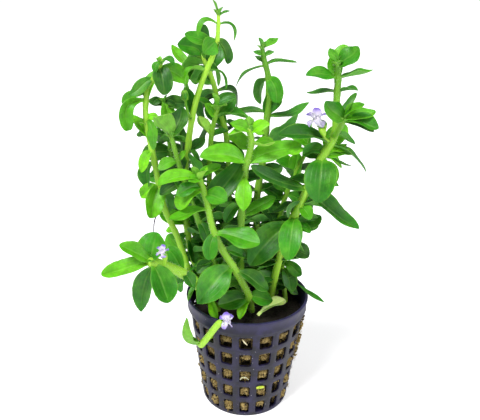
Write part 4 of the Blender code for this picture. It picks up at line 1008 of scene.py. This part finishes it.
def petal_skin(name, throat, middle, lobe, vein):
    """A petal: thin and matte, white at the throat and lilac at the lobe, with darker veins."""
    made, tree, place = blank_material(name)
    blade_place = node(tree, "SeparateXYZ", {0: node(tree, "UVMap", uv_map="blade")})
    inner = node(tree, "MapRange", {0: blade_place.outputs[1], 1: 0.05, 2: 0.5})
    outer = node(tree, "MapRange", {0: blade_place.outputs[1], 1: 0.45, 2: 0.95})
    lower = node(tree, "Mix", {0: inner, 6: throat, 7: middle}, data_type="RGBA")
    tint = node(tree, "Attribute", attribute_name="tint").outputs["Fac"]
    strength = node(tree, "Math", {0: outer, 1: tint}, operation="MULTIPLY")
    upper = node(tree, "Mix", {0: strength, 6: lower, 7: lobe}, data_type="RGBA")
    fan = node(tree, "Math", {0: blade_place.outputs[0], 1: 9.0}, operation="MULTIPLY")
    wave = node(tree, "Math", {0: fan, 1: 0.5}, operation="PINGPONG")
    line = node(tree, "MapRange", {0: wave, 1: 0.0, 2: 0.16, 3: 0.3, 4: 0.0})
    colour = node(tree, "Mix", {0: line, 6: upper, 7: vein}, data_type="RGBA")
    crepe = node(tree, "TexNoise", {"Vector": place, "Scale": 1 / (0.6 * MM), "Detail": 3.0})
    relief = node(tree, "Bump", {"Height": crepe, "Distance": 0.08 * MM, "Strength": 0.5})
    shader = node(tree, "BsdfPrincipled", {
        "Base Color": colour, "Roughness": 0.6, "IOR": 1.40, "Sheen Weight": 0.2,
        "Subsurface Weight": 0.3, "Subsurface Radius": (0.7, 0.6, 1.0), "Subsurface Scale": 0.6 * MM,
        "Normal": relief})
    node(tree, "OutputMaterial", {"Surface": shader})
    return made


PETAL = petal_skin("lilac_petal", "#f8f4fb", "#cfc2ee", "#7a60c8", "#6f55b8")


def spoke(axis, turn):
    """The direction square to an axis at a turn about it."""
    across = unit(np.cross(axis, (0.3, 0.2, 1.0)))
    return math.cos(turn) * across + math.sin(turn) * np.cross(axis, across)


def flower(name, node_name, route, stalk, calyx, tube, petal_length, rooted, tint, violet, look):
    """A flower at the end of its stalk: calyx, a trumpet as long as tube, and five lobes that look aside.

    Each length is in millimetres. The lobes' two shares of violet are for the lower and the upper ones.
    """
    chance = np.random.default_rng(sum(map(ord, name)))
    line = np.array(route, float)
    curve = smooth(np.vstack([line[0] + np.array(rooted, float), line]), 5)
    facing = unit(line[-1] - line[-2])
    throat = line[-1] - facing * tube
    away = np.linalg.norm(curve - throat, axis=1)
    curve = curve[:int(away.argmin()) + 1]
    swell = np.clip(1 - away[:len(curve)] / 3.2, 0, 1) ** 0.7
    radii = stalk / 2 + (calyx / 2 - stalk / 2) * swell
    grown = Growth()
    grown.add_stalk(curve, radii, tint)
    mouth = line[-1] + facing * 0.6
    trumpet = np.array([throat - facing * 0.5, throat + facing * 0.7, mouth + facing * 0.1])
    grown.add_stalk(trumpet, [calyx * 0.30, calyx * 0.28, calyx * 0.5], 0.0, finish=3, place=0.12)
    for k in range(5):
        out = spoke(facing, 2 * math.pi * (k + 0.5) / 5)
        grown.add_blade(throat - facing * 0.8 + out * calyx * 0.32, facing * (1.6 + 0.3 * tube) + out * 0.9,
                        calyx * 0.42, 0.1, 0, tint, chance, teeth=0)
    front = unit(facing + np.array(look))
    for k in range(5):
        out = spoke(front, 2 * math.pi * k / 5 + chance.normal(0, 0.08))
        reach = out * (petal_length - calyx * 0.35) + front * chance.uniform(-0.3, 0.5)
        grown.add_blade(mouth + out * calyx * 0.35 - front * 0.2, reach, petal_length * 0.95, 0.12,
                        chance.normal(0, 10), violet[int(out[2] > 0)], chance, (1.0, 0.4), upper=3, lower=3,
                        thickness=0.25, teeth=0.06)
    for k in range(4):
        out = spoke(front, 2 * math.pi * (k + 0.3) / 4)
        tip = mouth + facing * 1.1 + out * 0.45
        thread = np.array([mouth - facing * 0.4 + out * 0.15, tip])
        grown.add_stalk(thread, [0.09, 0.09], 0.5, finish=3, sides=5)
        anther = np.array([tip - facing * 0.1, tip + facing * 0.2, tip + facing * 0.5])
        grown.add_stalk(anther, [0.1, 0.24, 0.08], 0.5, finish=3, sides=6)
    made = grown.become(name, LIVING + [PETAL])
    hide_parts(node_name)


flower("lilac_flower_right", "flower_right", FLOWER_RIGHT, stalk=1.2, calyx=3.2, tube=4.5, petal_length=3.9,
       rooted=(2.5, 1.6, -2.0), tint=0.1, violet=(0.3, 1.3), look=(0.3, -1.1, -0.5))
flower("lilac_flower_trailing", "flower_trailing", FLOWER_TRAILING, stalk=1.0, calyx=2.6, tube=0.8,
       petal_length=2.4, rooted=(-0.8, 3.4, -1.8), tint=0.3, violet=(0.9, 1.6), look=(0, -0.8, 0))
flower("lilac_flower_side", "flower_side", FLOWER_SIDE, stalk=2.7, calyx=2.6, tube=1.2, petal_length=3.3,
       rooted=(-1.0, 1.8, -1.1), tint=0.1, violet=(0.8, 1.8), look=(0.2, -0.9, 0.2))


# Bud. A round green flower bud beside the tall stem, still shut in its five sepals. Its thin stalk springs
# from a leaf's axil, as the open flowers' do.
BUD_ROUTE = [(-23.0, 0.8, 124), (-23.6, -1.6, 125), (-24.9, -1.4, 129), (-25.3, -1, 132), (-25.5, -1, 134),
             (-25.5, -1, 135)]
BUD_MIDDLE, BUD_HALF, BUD_STALK, BUD_SWELL = 133.0, 2.1, 0.45, 0.95
CALYX_PLACE, SEPAL = (-25.4, -1, 131.4), 3.2
bud = Growth()
bud_line = smooth(BUD_ROUTE, 5)
bud_size = np.clip(1 - ((bud_line[:, 2] - BUD_MIDDLE) / BUD_HALF) ** 2, 0, 1) ** 0.5
bud.add_stalk(bud_line, BUD_STALK + BUD_SWELL * bud_size, 0.8)
for k in range(5):
    out = outward(2 * math.pi * k / 5)
    bud.add_blade(out * 1.15 + CALYX_PLACE, (0.1 - out[0] * 0.5, -out[1] * 0.5, SEPAL), 1.4, 0.12, 0, 0.5,
                  np.random.default_rng(20 + k), teeth=0)
green_bud = bud.become("green_bud", LIVING)
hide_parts("bud_tall")


# Loose bits. Two cream roots and a scrap of leaf that have pushed out through the pot's holes, and one thin
# dark root that hangs free beside the arching stem. Each has its route, radius, light colour and dark colour.
BITS = {
    "cream_root_upper": ([(-1.6, -23.6, 41.8), (-0.6, -24, 40.6), (0.6, -23.8, 39.2)], 0.3, "#efe6c4",
                         "#c9b98a"),
    "cream_root_lower": ([(-2, -21.3, 20.6), (-1, -21.7, 21.9), (0.5, -21.7, 21.9), (1.5, -21.4, 20.8)],
                         0.28, "#f2f4dc", "#b8c078"),
    "leaf_scrap": ([(4.9, -21, 16.3), (6.4, -20.8, 16.6), (8, -20.1, 16.3)], 0.62, "#d6e64c", "#8fae28"),
    "dark_root": ([(-35.6, -6.5, 88), (-37.3, -7.5, 85), (-37.9, -8.5, 79.7)], 0.26, "#6a6270", "#4c4654"),
}


def root_skin(name, light, dark):
    """A bare root or scrap: smooth and slightly wet, lighter and darker in short stretches."""
    made, tree, place = blank_material(name)
    cloud = node(tree, "TexNoise", {"Vector": place, "Scale": 1 / (0.9 * MM), "Detail": 2.0})
    share = node(tree, "MapRange", {0: cloud, 1: 0.35, 2: 0.65})
    colour = node(tree, "Mix", {0: share, 6: dark, 7: light}, data_type="RGBA")
    shader = node(tree, "BsdfPrincipled", {"Base Color": colour, "Roughness": 0.45, "IOR": 1.4})
    node(tree, "OutputMaterial", {"Surface": shader})
    return made


for name, (route, radius, light, dark) in BITS.items():
    bit_points, bit_faces, bit_line = [], [], smooth(route, 5)
    ends = np.sin(math.pi * np.linspace(0.12, 0.88, len(bit_line))) ** 0.5
    add_tube(bit_points, bit_faces, bit_line, radius * ends, 8)
    bit = piece(name, bit_points, bit_faces, [root_skin(name, light, dark)])


# Stem hairs. Fine soft white hairs, under a millimetre long, that stand off the skin of the nearer stems.
# They are part of the plant and only show against the light or on a pale stem.
HAIR_RADIUS, HAIR_TIP = 0.045, 0.012  # a real hair is half as thick and would not show
HAIRY = {"trailing": 620, "front": 520, "right": 520, "middle": 420, "arching": 380, "inner": 260, "low": 120}
hair_points, hair_faces = [], []
chance = np.random.default_rng(8)
for name, count in HAIRY.items():
    curve, radii = stalks[name]
    for _ in range(count):
        k = int(chance.integers(1, len(curve) - 2))
        share = chance.uniform()
        centre = curve[k] * (1 - share) + curve[k + 1] * share
        along = unit(curve[k + 1] - curve[k])
        out = chance.normal(size=3)
        out = unit(out - out @ along * along)
        foot = centre + out * radii[k] * 0.93
        tip = foot + unit(out + 0.35 * chance.normal(size=3)) * chance.uniform(0.35, 0.85)
        add_tube(hair_points, hair_faces, np.array([foot, tip]), [HAIR_RADIUS, HAIR_TIP], 3)


def hair_skin():
    """Plant hair: clear and glassy, so it looks white against the stem, each one a little different."""
    made, tree, place = blank_material("stem_hair")
    cloud = node(tree, "TexNoise", {"Vector": place, "Scale": 1 / (2.0 * MM), "Detail": 1.0})
    colour = node(tree, "Mix", {0: cloud, 6: "#d4ee9a", 7: "#f4fbe2"}, data_type="RGBA")
    shader = node(tree, "BsdfPrincipled", {"Base Color": colour, "Roughness": 0.4, "IOR": 1.45})
    node(tree, "OutputMaterial", {"Surface": shader})
    return made


hairs = piece("stem_hairs", hair_points, hair_faces, [hair_skin()])


# Floor and light. The pot stands on white paper, lit by a broad key light and one weak soft box, in an empty
# white studio that is dimmer as a light than it looks.
PAPER_GLOW = 0.45  # only for the camera
WORLD_LIGHT, WORLD_SEEN = 0.38, 1.05  # the studio's strength as a light, and as it looks


def paper():
    """White paper: matte, with the faintest cloudiness."""
    made, tree, place = blank_material("white_paper")
    cloud = node(tree, "TexNoise", {"Vector": place, "Scale": 4.0, "Detail": 3.0})
    colour = node(tree, "Mix", {0: cloud, 6: "#f0f0f2", 7: "#f8f8fa"}, data_type="RGBA")
    seen = node(tree, "LightPath").outputs["Is Camera Ray"]
    glow = node(tree, "Math", {0: seen, 1: PAPER_GLOW}, operation="MULTIPLY")
    shader = node(tree, "BsdfPrincipled", {"Base Color": colour, "Roughness": 0.9,
                                           "Emission Color": (1.0, 1.0, 1.0, 1.0),
                                           "Emission Strength": glow})
    node(tree, "OutputMaterial", {"Surface": shader})
    return made


FLOOR_METRES, FLOOR_SIDES = 12, 64  # so wide that its edge is out of sight
floor_mesh = bpy.data.meshes.new("paper_floor")
turns = np.arange(FLOOR_SIDES) * 2 * math.pi / FLOOR_SIDES
floor_edge = [(FLOOR_METRES * math.cos(turn), FLOOR_METRES * math.sin(turn), 0) for turn in turns]
floor_mesh.from_pydata(floor_edge, [], [tuple(range(FLOOR_SIDES))])
floor_mesh.materials.append(paper())
floor = bpy.data.objects.new("paper_floor", floor_mesh)
bpy.context.scene.collection.objects.link(floor)
sun = bpy.data.lights.new("key_light", "SUN")
sun.energy, sun.angle = 3.1, math.radians(22)
key = bpy.data.objects.new("key_light", sun)
key.rotation_euler = Vector((0.38, 0.42, -0.83)).to_track_quat("-Z", "Y").to_euler()
bpy.context.scene.collection.objects.link(key)
box = bpy.data.lights.new("fill_light", "AREA")
box.shape, box.size, box.energy = "DISK", 0.6, 3.6
fill = bpy.data.objects.new("fill_light", box)
fill.location = (0.7, -0.45, 0.5)
fill.rotation_euler = (Vector((0, 0, 0.08)) - fill.location).to_track_quat("-Z", "Y").to_euler()
bpy.context.scene.collection.objects.link(fill)
world = bpy.data.worlds.new("white_studio")
world.use_nodes = True
seen = node(world.node_tree, "LightPath").outputs["Is Camera Ray"]
strength = node(world.node_tree, "MapRange", {0: seen, 3: WORLD_LIGHT, 4: WORLD_SEEN})
world.node_tree.nodes["Background"].inputs["Color"].default_value = (1.0, 1.0, 1.0, 1.0)
world.node_tree.links.new(strength.outputs[0], world.node_tree.nodes["Background"].inputs["Strength"])
bpy.context.scene.world = world
bpy.context.scene.view_settings.view_transform = "Standard"


# Camera. It looks down on the pot from the front, as the photograph does. Its place, angles and focal length
# were fitted to the pot's rim and rows of holes.
PITCH, ROLL, YAW = math.radians(20.77), math.radians(1.18), math.radians(-1.06)
FOCAL_PIXELS, FRAME_PIXELS, SENSOR = 545.9, 480, 36.0
forward = Vector((math.cos(PITCH) * math.sin(YAW), math.cos(PITCH) * math.cos(YAW), -math.sin(PITCH)))
level = Vector((math.cos(YAW), -math.sin(YAW), 0))
upright = Vector((math.sin(PITCH) * math.sin(YAW), math.sin(PITCH) * math.cos(YAW), math.cos(PITCH)))
right = math.cos(ROLL) * level + math.sin(ROLL) * upright
above = -math.sin(ROLL) * level + math.cos(ROLL) * upright
lens = bpy.data.cameras.new("camera")
lens.sensor_width = SENSOR
lens.lens = SENSOR * FOCAL_PIXELS / FRAME_PIXELS
lens.clip_start, lens.clip_end = 0.01, 50.0
camera = bpy.data.objects.new("camera", lens)
camera.matrix_world = Matrix((
    (right.x, above.x, -forward.x, EYE[0] * MM), (right.y, above.y, -forward.y, EYE[1] * MM),
    (right.z, above.z, -forward.z, EYE[2] * MM), (0, 0, 0, 1)))
bpy.context.scene.collection.objects.link(camera)
bpy.context.scene.camera = camera
